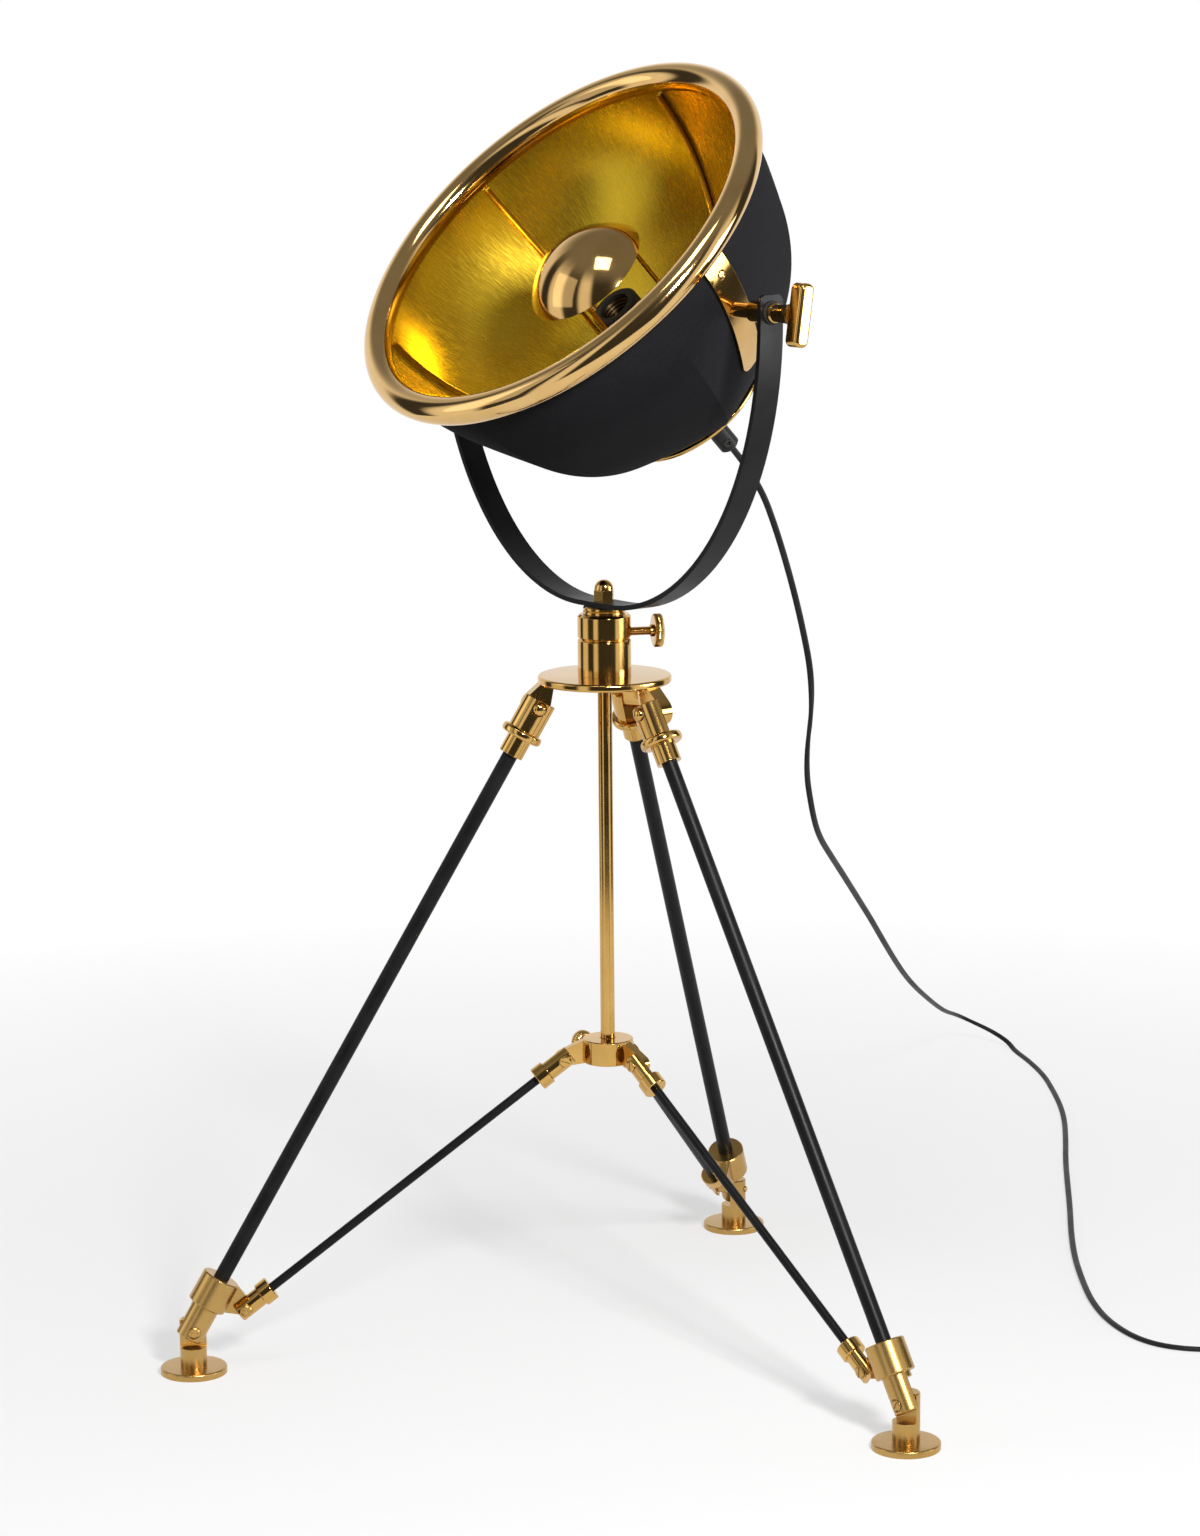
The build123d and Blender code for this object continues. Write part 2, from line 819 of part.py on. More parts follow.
def gore_loft(inset, first, last):
    """Solid inside the shade's surface, moved inward by an inset, between two sweeps of its arc."""
    steps = 8
    sweeps = [first + (last - first) * step / steps for step in range(steps + 1)]
    with BuildPart() as bowl:
        for sweep in sweeps:
            depth = arc_depth + (arc_radius - inset) * sin(sweep)
            crease = arc_offset + (arc_radius - inset) * cos(sweep)
            middle = crease * (1 - flatness(sweep) * (1 - cos(half_gore)))
            with BuildSketch(rim_plane.offset(-depth)):
                with BuildLine():
                    for gore in range(gore_count):
                        start = radians(first_crease) + 2 * half_gore * gore
                        ThreePointArc(
                            (crease * cos(start), crease * sin(start)),
                            (middle * cos(start + half_gore), middle * sin(start + half_gore)),
                            (crease * cos(start + 2 * half_gore), crease * sin(start + 2 * half_gore)),
                        )
                make_face()
        loft()
    return bowl.part


def build_shade():
    skin = shade_wall + lining_gap + lining_wall
    with BuildPart() as ring:
        with BuildSketch(axial(rim_plane)):
            with Locations((rim_radius, 0)):
                Circle(rim_tube_radius)
                Circle(rim_tube_radius - rim_wall, mode=Mode.SUBTRACT)
            with Locations((arc_offset + arc_radius - skin / 2, -rim_tube_radius)):
                Rectangle(skin + 2 * rim_slot_play, 9, mode=Mode.SUBTRACT)
        revolve(axis=Axis(rim_plane.origin, rim_plane.z_dir))
    save(ring.part, "rim_ring")

    margin = radians(1.5)
    lining_start = shade_wall + lining_gap
    lining_end = lining_start + lining_wall
    outside = gore_loft(0, front_sweep, back_sweep)
    inside = gore_loft(shade_wall, front_sweep - margin, back_sweep + margin)
    with BuildPart() as shell:
        add(outside)
        add(inside, mode=Mode.SUBTRACT)
    save(shell.part, "shade_shell")

    outside = gore_loft(lining_start, front_sweep, back_sweep)
    inside = gore_loft(lining_end, front_sweep - margin, back_sweep + margin)
    with BuildPart() as lining:
        add(outside)
        add(inside, mode=Mode.SUBTRACT)
    save(lining.part, "shade_lining")

    rib_arc = arc_radius - lining_end - face_gap - rib_radius
    rib_start = asin((rim_tube_radius + face_gap - arc_depth) / rib_arc)
    rib_sweep = degrees(back_sweep - rib_start)
    with BuildPart() as ribs:
        for gore in range(gore_count):
            angle = radians(first_crease) + 2 * half_gore * gore
            away = rim_plane.x_dir * cos(angle) + rim_plane.y_dir * sin(angle)
            along = rim_plane.y_dir * cos(angle) - rim_plane.x_dir * sin(angle)
            bend = rim_plane.origin + away * arc_offset - rim_plane.z_dir * arc_depth
            start = bend + (away * cos(rib_start) - rim_plane.z_dir * sin(rib_start)) * rib_arc
            ahead = away * sin(rib_start) + rim_plane.z_dir * cos(rib_start)
            with BuildSketch(Plane(origin=start, x_dir=along, z_dir=ahead)):
                Circle(rib_radius)
            revolve(axis=Axis(bend, along), revolution_arc=rib_sweep)
    save(ribs.part, "shade_ribs")


def build_head_fittings():
    nipple_seat = nipple_radius + seat_fit
    rods = [first_rod_heading + 120 * step for step in range(3)]
    sphere = (deflector_radius**2 + deflector_height**2) / (2 * deflector_height)
    dome_centre = deflector_edge - deflector_height + sphere

    blank = turned(
        rim_plane,
        (nipple_seat, -cap_front),
        (cap_radius - 1, -cap_front),
        (cap_radius, -cap_front - 1),
        (cap_radius, -cap_back + 1),
        (cap_radius - 1, -cap_back),
        (nipple_seat, -cap_back),
    )
    save(blank, "rear_cap")

    with BuildPart() as nut:
        with BuildSketch(rim_plane.offset(-cap_nut_back)):
            RegularPolygon(9, 6)
            Circle(nipple_seat, mode=Mode.SUBTRACT)
        extrude(amount=cap_nut_height)
    save(nut.part, "cap_nut")

    holder_back = holder_front + 65
    floor = holder_front + 47
    blank = turned(
        rim_plane,
        (holder_bore, -holder_front),
        (holder_radius - 1.5, -holder_front),
        (holder_radius, -holder_front - 1.5),
        (holder_radius, -holder_front - 22),
        (holder_radius - 1.2, -holder_front - 23.2),
        (holder_radius - 1.2, -holder_front - 48),
        (holder_radius - 8, -holder_back + 4),
        (holder_radius - 12, -holder_back),
        (0, -holder_back),
        (0, -floor),
        (holder_bore, -floor),
    )
    save(blank, "lampholder")

    shell_front = holder_front + 3
    shell = turned(
        rim_plane,
        (thread_radius, -shell_front),
        (holder_bore - seat_fit, -shell_front),
        (holder_bore - seat_fit, -shell_front - 38),
        (thread_radius, -shell_front - 38),
    )
    contact = turned(rim_plane, (0, -floor), (4, -floor), (4, -floor + 2), (3, -floor + 3), (0, -floor + 3))
    with BuildPart() as brass:
        add(shell)
        add(contact)
    save(brass.part, "holder_shell")

    nipple_back = grip_front + 11
    blank = turned(
        rim_plane, (0, -holder_back), (nipple_radius, -holder_back), (nipple_radius, -nipple_back), (0, -nipple_back)
    )
    save(blank, "nipple")

    apex = deflector_edge - deflector_height
    middle = radians(45) * deflector_radius / sphere
    inner = sphere - deflector_wall
    lip = sqrt(inner**2 - (dome_centre - deflector_edge) ** 2)
    with BuildPart() as dome:
        with BuildSketch(axial(rim_plane)):
            with BuildLine():
                ThreePointArc(
                    (0, -apex),
                    (sphere * sin(middle), sphere * cos(middle) - dome_centre),
                    (deflector_radius, -deflector_edge),
                )
                Line((deflector_radius, -deflector_edge), (lip, -deflector_edge))
                ThreePointArc(
                    (lip, -deflector_edge),
                    (inner * sin(middle), inner * cos(middle) - dome_centre),
                    (0, -apex - deflector_wall),
                )
                Line((0, -apex - deflector_wall), (0, -apex))
            make_face()
        revolve(axis=Axis(rim_plane.origin, rim_plane.z_dir))
    save(dome.part, "deflector")

    rod_edge = deflector_rod_reach + deflector_rod_radius
    rod_front = dome_centre - sqrt(inner**2 - rod_edge**2) + face_gap
    with BuildPart() as posts:
        with BuildSketch(rim_plane.offset(-cap_front)):
            for angle in rods:
                with Locations(
                    (deflector_rod_reach * cos(radians(angle)), deflector_rod_reach * sin(radians(angle)))
                ):
                    Circle(deflector_rod_radius)
        extrude(amount=cap_front - rod_front)
    save(posts.part, "deflector_rods")

    set_screw = Plane(
        origin=rim_plane.from_local_coords((0, 0, -grip_screw_depth)),
        x_dir=rim_plane.z_dir,
        z_dir=rim_plane.x_dir * cos(radians(grip_screw_heading)) + rim_plane.y_dir * sin(radians(grip_screw_heading)),
    )
    screw_bore = grip_screw_radius + seat_fit
    screw_hole = turned(set_screw, (0, 4.5), (screw_bore, 4.5), (screw_bore, grip_radius + 2), (0, grip_radius + 2))
    blank = turned(
        rim_plane,
        (nipple_seat, -grip_front),
        (grip_radius - 0.8, -grip_front),
        (grip_radius, -grip_front - 0.8),
        (grip_radius, -grip_back + 2),
        (grip_radius - 2, -grip_back),
        (0, -grip_back),
        (0, -nipple_back),
        (nipple_seat, -nipple_back),
    )
    with BuildPart() as grip:
        add(blank)
        add(screw_hole, mode=Mode.SUBTRACT)
    save(grip.part, "cord_grip")

    blank = turned(
        set_screw,
        (0, 4.5),
        (grip_screw_radius, 4.5),
        (grip_screw_radius, grip_radius + 0.6),
        (0, grip_radius + 0.6),
    )
    with BuildPart() as screw:
        add(blank)
        with BuildSketch(set_screw.offset(grip_radius - 1.6)):
            RegularPolygon(grip_screw_radius - 1.8, 6)
        extrude(amount=4, mode=Mode.SUBTRACT)
    save(screw.part, "grip_screw")


def build_straps():
    spare = 4
    steps = 6
    first = strap_front - spare
    depths = [first + (strap_back + spare - first) * step / steps for step in range(steps + 1)]
    inner = [(strap_seat(depth) + strap_gap, -depth) for depth in depths]
    outer = [(reach + strap_thickness, height) for reach, height in inner]
    screw_sweep = asin((strap_screw_depth - arc_depth) / arc_radius)
    side_view = Plane(origin=rim_plane.origin, x_dir=rim_plane.y_dir, z_dir=rim_plane.x_dir)
    with BuildPart() as strap:
        with BuildSketch(axial(rim_plane)):
            with BuildLine():
                Spline(*inner)
                Line(inner[-1], outer[-1])
                Spline(*outer)
                Line(outer[0], inner[0])
            make_face()
        extrude(amount=strap_half_width + spare, both=True)
        with BuildSketch(side_view) as outline:
            with Locations((0, -(strap_front + strap_back) / 2)):
                Rectangle(2 * strap_half_width, strap_back - strap_front)
            fillet(outline.vertices().sort_by(Axis.Y)[:2], 11)
        extrude(amount=yoke_inner, mode=Mode.INTERSECT)
    screw_frame = Plane(
        origin=rim_plane.from_local_coords((strap_seat(strap_screw_depth) + strap_gap, 0, -strap_screw_depth)),
        x_dir=rim_plane.y_dir,
        z_dir=rim_plane.x_dir * cos(screw_sweep) - rim_plane.z_dir * sin(screw_sweep),
    )
    screw_hole = drilled(screw_frame, strap_screw_radius + seat_fit, 3 * strap_thickness)
    boss_hole = drilled(Plane(origin=(pivot_face, 0, pivot_height), z_dir=(1, 0, 0)), boss_radius + seat_fit, 12)
    with BuildPart() as straps:
        add(strap.part)
        add(screw_hole, mode=Mode.SUBTRACT)
        add(boss_hole, mode=Mode.SUBTRACT)
        mirror(about=Plane.YZ)
    save(straps.part, "side_straps")

    blank = turned(
        screw_frame,
        (0, 0.3),
        (strap_screw_radius, 0.3),
        (strap_screw_radius, strap_thickness),
        (strap_screw_radius - 1.2, strap_thickness + 0.7),
        (0, strap_thickness + 1),
    )
    with BuildPart() as screws:
        add(blank)
        with BuildSketch(screw_frame.offset(strap_thickness - 0.4)):
            Rectangle(1.1, 3 * strap_screw_radius, rotation=20)
        extrude(amount=3, mode=Mode.SUBTRACT)
        mirror(about=Plane.YZ)
    save(screws.part, "strap_screws")

    bosses = []
    collar_start = yoke_inner - 20
    for side in (1, -1):
        pivot = Plane(origin=(0, 0, pivot_height), x_dir=(0, 0, 1), z_dir=(side, 0, 0))
        bosses.append(
            turned(
                pivot,
                (0, pivot_face - 0.6),
                (boss_radius, pivot_face - 0.6),
                (boss_radius, collar_start),
                (boss_collar_radius - 0.8, collar_start),
                (boss_collar_radius, collar_start + 0.8),
                (boss_collar_radius, yoke_inner - face_gap),
                (stud_radius, yoke_inner - face_gap),
                (stud_radius, knob_base + knob_shank),
                (0, knob_base + knob_shank),
            )
        )
    with BuildPart() as pair:
        for boss in bosses:
            add(boss)
    save(pair.part, "pivot_bosses")


def corner_radii(points):
    """Bend radius at each inner point of a route, from the shorter run beside it."""
    radii = []
    for before, here, after in zip(points, points[1:], points[2:]):
        arriving = Vector(*here) - Vector(*before)
        leaving = Vector(*after) - Vector(*here)
        turn = radians(arriving.get_angle(leaving))
        radii.append(0.45 * min(arriving.length, leaving.length) / tan(turn / 2))
    return radii


def build_tube(name, points):
    radii = corner_radii(points)
    with BuildLine() as route:
        FilletPolyline(*points, radius=radii)
    path = route.wire()
    with BuildPart() as tube:
        with BuildSketch(Plane(origin=path @ 0, z_dir=path % 0)):
            Circle(cord_radius)
        sweep(path=path)
    section = 3.14159265 * cord_radius**2
    print(name, "length", round(path.length), "smallest radius", round(min(radii), 1))
    print(name, "volume over section times length", round(tube.part.volume / (section * path.length), 4))
    save(tube.part, name)


def build_cord():
    cord_start = rim_plane.from_local_coords((0, 0, -grip_back - face_gap))
    first_run = rim_plane.from_local_coords((0, 0, -grip_back - 45))
    route = [
        tuple(cord_start),
        tuple(first_run),
        (3, 204, 730),
        (5, 228, 656),
        (9, 242, 584),
        (-3, 241, 512),
        (-19, 264, 461),
        (-41, 292, 430),
        (-80, 342, 396),
        (-123, 402, 361),
        (-173, 456, 326),
        (-214, 519, 288),
        (-264, 573, 249),
        (-306, 636, 210),
        (-356, 690, 174),
        (-397, 753, 142),
        (-447, 807, 115),
        (-488, 869, 87),
        (-539, 924, 60),
        (-582, 985, 40),
        (-583, 1009, 28),
        (-567, 1028, 16),
        (-544, 1032, 7),
        (-523, 1022, cord_radius),
        (-479, 1002, cord_radius),
        (-420, 969, cord_radius),
        (-366, 930, cord_radius),
        (-321, 897, cord_radius),
        (-277, 861, cord_radius),
        (-214, 801, cord_radius),
        (-155, 738, cord_radius),
        (-92, 681, cord_radius),
        (-28, 623, cord_radius),
        (34, 559, cord_radius),
        (95, 504, cord_radius),
        (152, 458, cord_radius),
        (206, 418, cord_radius),
        (260, 387, cord_radius),
        (314, 371, cord_radius),
        (354, 380, cord_radius),
        (385, 412, cord_radius),
        (416, 446, cord_radius + tie_thickness),
    ]
    meeting = tuple((Vector(*route[5]) + Vector(*route[6])) / 2)
    build_tube("cord_upper", route[:6] + [meeting])
    build_tube("cord_lower", [meeting] + route[6:])

    last_run = (Vector(*route[-1]) - Vector(*route[-2])).normalized()
    left = Vector(-last_run.Y, last_run.X, 0).normalized()
    end = Vector(route[-1][0], route[-1][1], 0)
    centre = end + left * coil_radius
    bundle = 2 * cord_radius * coil_turns
    coil_base = Plane(origin=centre, x_dir=(1, 0, 0), z_dir=(0, 0, 1))
    with BuildPart() as coil:
        with BuildSketch(axial(coil_base)):
            with Locations((coil_radius, tie_thickness + bundle / 2)):
                RectangleRounded(2 * cord_radius, bundle, cord_radius - 0.05)
        revolve(axis=Axis(centre, (0, 0, 1)))
    save(coil.part, "cord_coil")

    tie_side = left
    tie_plane = Plane(
        origin=centre + tie_side * coil_radius + Vector(0, 0, tie_thickness + bundle / 2),
        x_dir=tie_side,
        z_dir=tie_side.cross(Vector(0, 0, 1)),
    )
    with BuildPart() as tie:
        with BuildSketch(tie_plane):
            RectangleRounded(2 * cord_radius + 2 * tie_thickness, bundle + 2 * tie_thickness, cord_radius)
            RectangleRounded(2 * cord_radius + 0.2, bundle, cord_radius - 0.2, mode=Mode.SUBTRACT)
        extrude(amount=5, both=True)
    save(tie.part, "coil_tie")

    away = -left
    plug_run = last_run - Vector(0, 0, last_run.Z)
    plug_axis = plug_run.normalized()
    plug_base = Plane(origin=end + Vector(0, 0, 7.2), x_dir=away, z_dir=plug_axis)
    tail = turned(plug_base, (0, 0), (3.75, 0), (4.5, 34), (6.2, 42), (0, 42))
    with BuildPart() as plug:
        with BuildSketch(plug_base.offset(40)):
            RectangleRounded(35.3, 14.2, 6.5)
        extrude(amount=24)
        fillet(plug.faces().sort_by(Axis(plug_base.origin, plug_axis))[0].edges(), 4)
        add(tail)
        with BuildSketch(plug_base.offset(64)):
            with Locations((-9.3, 0), (9.3, 0)):
                Circle(2)
        extrude(amount=19)
    save(plug.part, "plug")


build_top_plate()
build_top_pins()
for leg_number, (leg_heading, lap_side) in enumerate(zip(leg_headings, lap_sides), start=1):
    build_leg(leg_number, leg_heading, lap_side)
    build_foot(leg_number, leg_heading, lap_side)
    build_stretcher(leg_number, leg_heading, lap_side)
build_hub()
build_mast()
build_yoke()
build_knob("wing_knob_right", 1, -9)
build_knob("wing_knob_left", -1, 25)
build_shade()
build_head_fittings()
build_straps()
build_cord()
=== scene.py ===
"""Dress the tripod floor lamp: photograph camera, studio, cord, shade and the finish of every piece.

Sizes are millimetres, as on the drawings of the solids, and meshes are made in metres.
"""

from __future__ import annotations

import logging
import math
from collections.abc import Callable, Sequence
from dataclasses import dataclass, field
from enum import Enum

import bmesh
import bpy
from mathutils import Matrix, Vector


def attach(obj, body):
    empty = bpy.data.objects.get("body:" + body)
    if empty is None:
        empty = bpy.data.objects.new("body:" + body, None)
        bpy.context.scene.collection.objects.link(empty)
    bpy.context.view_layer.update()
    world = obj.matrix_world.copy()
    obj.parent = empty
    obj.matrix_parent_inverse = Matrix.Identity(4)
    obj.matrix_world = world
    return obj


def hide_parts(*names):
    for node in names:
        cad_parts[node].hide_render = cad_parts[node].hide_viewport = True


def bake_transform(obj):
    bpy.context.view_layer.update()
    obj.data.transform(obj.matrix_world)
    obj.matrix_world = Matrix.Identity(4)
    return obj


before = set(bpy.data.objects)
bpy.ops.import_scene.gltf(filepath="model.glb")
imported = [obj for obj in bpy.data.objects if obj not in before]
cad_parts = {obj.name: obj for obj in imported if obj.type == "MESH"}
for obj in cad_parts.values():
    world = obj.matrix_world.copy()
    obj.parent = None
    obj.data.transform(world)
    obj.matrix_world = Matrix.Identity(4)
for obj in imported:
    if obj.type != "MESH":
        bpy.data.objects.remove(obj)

LOG = logging.getLogger("floor_lamp")
MM = 0.001
LEGS = (1, 2, 3)
WELD_REACH = 0.01
CRISP_ANGLE = 32
THREAD_ROWS_PER_TURN = 8
WAVES_PER_SCALE = 3.2

Point = tuple[float, float, float]
Colour = tuple[float, float, float]
Profile = Sequence[tuple[float, float]]


class NodeSheet:
    """A surface's node tree, drawn up one node at a time."""

    def __init__(self, name: str) -> None:
        """Start a material that holds one Principled shader."""
        self.surface = bpy.data.materials.new(name)
        self.surface.use_nodes = True
        self.tree = self.surface.node_tree
        self.shader = self.tree.nodes["Principled BSDF"]

    def node(self, kind: str, **settings: object) -> bpy.types.Node:
        """Add a shader node.

        Args:
            kind: The node's type name without its ShaderNode prefix.
            settings: Properties to set on it.

        Returns:
            The new node.
        """
        made = self.tree.nodes.new(f"ShaderNode{kind}")
        for key, value in settings.items():
            setattr(made, key, value)
        return made

    def link(self, source: bpy.types.NodeSocket, target: bpy.types.NodeSocket) -> None:
        """Join an output to an input."""
        self.tree.links.new(source, target)

    def constants(self, **values: object) -> None:
        """Set the shader's own sockets, with spaces in a socket's name written as underscores."""
        for key, value in values.items():
            self.shader.inputs[key.replace("_", " ")].default_value = value

    def place(self, source: str = "Object") -> bpy.types.NodeSocket:
        """Give the piece's own coordinates, or its UV map's."""
        return self.node("TexCoord").outputs[source]

    def stretched(self, vector: bpy.types.NodeSocket, scale: Point, turn: Point = (0, 0, 0)) -> bpy.types.NodeSocket:
        """Scale and turn coordinates.

        Args:
            vector: The coordinates to change.
            scale: The factor on each axis.
            turn: The turn round each axis, in degrees.

        Returns:
            The changed coordinates.
        """
        mapping = self.node("Mapping")
        mapping.inputs["Scale"].default_value = scale
        mapping.inputs["Rotation"].default_value = [math.radians(angle) for angle in turn]
        self.link(vector, mapping.inputs["Vector"])
        return mapping.outputs["Vector"]

    def noise(self, vector: bpy.types.NodeSocket, scale: float, detail: float = 3) -> bpy.types.NodeSocket:
        """Give a cloudy value from 0 to 1.

        Args:
            vector: The coordinates to read it at.
            scale: Its scale, in cycles per metre.
            detail: How many finer layers it has.

        Returns:
            The value.
        """
        texture = self.node("TexNoise")
        texture.inputs["Scale"].default_value = scale
        texture.inputs["Detail"].default_value = detail
        self.link(vector, texture.inputs["Vector"])
        return texture.outputs["Fac"]

    def between(
        self,
        value: bpy.types.NodeSocket,
        low: float,
        high: float,
        start: float = 0.3,
        end: float = 0.7,
        smooth: bool = False,
    ) -> bpy.types.NodeSocket:
        """Spread a value over a range.

        Args:
            value: The value to spread.
            low: The result at the start.
            high: The result at the end.
            start: The value that gives the low result.
            end: The value that gives the high result.
            smooth: Whether the result eases in and out at the ends.

        Returns:
            The result, held to the range.
        """
        span = self.node("MapRange", interpolation_type="SMOOTHSTEP" if smooth else "LINEAR")
        for key, number in (("From Min", start), ("From Max", end), ("To Min", low), ("To Max", high)):
            span.inputs[key].default_value = number
        self.link(value, span.inputs["Value"])
        return span.outputs["Result"]

    def math(self, operation: str, first: object, second: object = 0.0) -> bpy.types.NodeSocket:
        """Work out a sum.

        Args:
            operation: The sum's name.
            first: A socket or a number.
            second: Another one, where the sum needs it.

        Returns:
            The result.
        """
        made = self.node("Math", operation=operation)
        for socket, value in zip(made.inputs, (first, second)):
            if isinstance(value, bpy.types.NodeSocket):
                self.link(value, socket)
            else:
                socket.default_value = value
        return made.outputs["Value"]

    def blended(self, value: bpy.types.NodeSocket, low: object, high: object) -> bpy.types.NodeSocket:
        """Mix two colours.

        Args:
            value: The share of the second colour, from 0 to 1.
            low: The first colour, as a socket or an RGB value.
            high: The second colour, likewise.

        Returns:
            The mixed colour.
        """
        mix = self.node("Mix", data_type="RGBA")
        self.link(value, mix.inputs["Factor"])
        for socket, colour in ((mix.inputs[6], low), (mix.inputs[7], high)):
            if isinstance(colour, bpy.types.NodeSocket):
                self.link(colour, socket)
            else:
                socket.default_value = (*colour, 1)
        return mix.outputs[2]

    def relief(self, height: bpy.types.NodeSocket, depth: float, soft_edge: float = 0) -> None:
        """Bump the surface.

        Args:
            height: The relief, from 0 to 1.
            depth: How deep it is, in millimetres.
            soft_edge: The radius that every edge looks rounded to, in millimetres.
        """
        bump = self.node("Bump")
        bump.inputs["Distance"].default_value = depth * MM
        self.link(height, bump.inputs["Height"])
        if soft_edge:
            edge = self.node("Bevel", samples=4)
            edge.inputs["Radius"].default_value = soft_edge * MM
            self.link(edge.outputs["Normal"], bump.inputs["Normal"])
        self.link(bump.outputs["Normal"], self.shader.inputs["Normal"])

    def paint(self, **sockets: bpy.types.NodeSocket) -> None:
        """Link values to the shader's inputs, with spaces in a socket's name written as underscores."""
        for key, socket in sockets.items():
            self.link(socket, self.shader.inputs[key.replace("_", " ")])


class RoomSheet(NodeSheet):
    """The node tree of the surroundings."""

    def __init__(self, name: str) -> None:
        """Start a world with an empty tree."""
        self.surface = bpy.data.worlds.new(name)
        self.surface.use_nodes = True
        self.tree = self.surface.node_tree
        self.tree.nodes.clear()


@dataclass(frozen=True)
class Finish:
    """A surface finish that can make its material."""

    name: str

    def material(self) -> bpy.types.Material:
        """Give the finish's material, made once."""
        return bpy.data.materials.get(self.name) or self.draw()

    def draw(self) -> bpy.types.Material:
        """Draw up the material's nodes."""
        raise NotImplementedError


@dataclass(frozen=True)
class PolishedMetal(Finish):
    """Lacquered metal with a faint mottle, wiping marks and soft edges."""

    bright: Colour
    dull: Colour
    roughness: float
    wear: float = 0.03
    mottle: float = 26
    wiping: float = 1400
    wiping_stretch: Point = (1, 1, 0.06)
    wiping_turn: Point = (24, 35, 10)
    mark_depth: float = 0.0012
    soft_edge: float = 0.5

    def draw(self) -> bpy.types.Material:
        """Draw up the material's nodes.

        Returns:
            The material.
        """
        sheet = NodeSheet(self.name)
        place = sheet.place()
        cloud = sheet.noise(place, self.mottle, 4)
        marks = sheet.noise(sheet.stretched(place, self.wiping_stretch, self.wiping_turn), self.wiping)
        clouded = sheet.between(cloud, -self.wear / 2, self.wear / 2)
        rough = sheet.math("ADD", clouded, sheet.between(marks, 0, self.wear))
        sheet.paint(
            Base_Color=sheet.blended(sheet.between(cloud, 0, 1), self.dull, self.bright),
            Roughness=sheet.math("ADD", rough, self.roughness),
        )
        sheet.relief(marks, self.mark_depth, self.soft_edge)
        sheet.constants(Metallic=1.0)
        return sheet.surface


@dataclass(frozen=True)
class BrushedLining(Finish):
    """Gold lining sheet with fine scratches that cross, laid out in the sheet's own flat coordinates."""

    bright: Colour
    dull: Colour
    roughness: float
    scratch_pitch: float = 0.8
    scratch_depth: float = 0.008
    scratch_stretch: Point = (1, 0.045, 1)
    scratch_turns: Point = (38, -34, 82)
    cloud: float = 18
    metal: float = 0.92

    def draw(self) -> bpy.types.Material:
        """Draw up the material's nodes.

        Returns:
            The material.
        """
        sheet = NodeSheet(self.name)
        flat = sheet.place("UV")
        pitch = 1 / (self.scratch_pitch * MM)
        strokes = [
            sheet.noise(sheet.stretched(flat, self.scratch_stretch, (0, 0, turn)), pitch, 4)
            for turn in self.scratch_turns
        ]
        crossed = sheet.math("MAXIMUM", sheet.math("MAXIMUM", strokes[0], strokes[1]), strokes[2])
        cloud = sheet.noise(flat, self.cloud, 4)
        tone = sheet.math("ADD", sheet.between(crossed, 0, 0.55, 0.5, 0.8), sheet.between(cloud, 0, 0.45))
        sheet.paint(
            Base_Color=sheet.blended(tone, self.dull, self.bright),
            Roughness=sheet.math("ADD", sheet.between(crossed, -0.04, 0.1, 0.45, 0.75), self.roughness),
        )
        sheet.relief(crossed, self.scratch_depth)
        sheet.constants(Metallic=self.metal)
        return sheet.surface


@dataclass(frozen=True)
class WovenTextile(Finish):
    """Black shade cloth: a plain weave of two thread sets, with paler loose fibres."""

    thread: Colour
    fibre: Colour
    thread_pitch: float = 0.8
    thread_waver: float = 0.6
    weave_depth: float = 0.12
    slub: float = 620
    slub_stretch: Point = (0.08, 1, 1)
    slub_share: float = 0.5
    lint: float = 1900
    sheen: float = 0.01
    gloss: float = 0.05

    def draw(self) -> bpy.types.Material:
        """Draw up the material's nodes.

        Returns:
            The material.
        """
        sheet = NodeSheet(self.name)
        flat = sheet.place("UV")
        cycles = 1 / (2 * self.thread_pitch * MM)
        sets = []
        for direction in ("X", "Y"):
            wave = sheet.node("TexWave", bands_direction=direction, wave_profile="SIN")
            wave.inputs["Scale"].default_value = cycles / WAVES_PER_SCALE
            wave.inputs["Distortion"].default_value = self.thread_waver
            wave.inputs["Detail"].default_value = 2
            sheet.link(flat, wave.inputs["Vector"])
            sets.append(wave.outputs["Fac"])
        weave = sheet.math("ABSOLUTE", sheet.math("SUBTRACT", sets[0], sets[1]))
        slubs = sheet.noise(sheet.stretched(flat, self.slub_stretch), self.slub)
        lint = sheet.noise(flat, self.lint, 2)
        tone = sheet.math("MULTIPLY", sheet.between(lint, 0, 1, 0.52, 0.8), sheet.between(slubs, 0.25, 1))
        sheet.paint(
            Base_Color=sheet.blended(tone, self.thread, self.fibre),
            Roughness=sheet.between(weave, 0.82, 0.95, 0, 1),
        )
        sheet.relief(sheet.math("ADD", weave, sheet.math("MULTIPLY", slubs, self.slub_share)), self.weave_depth)
        sheet.constants(Sheen_Weight=self.sheen, Sheen_Roughness=0.4, Specular_IOR_Level=self.gloss)
        return sheet.surface


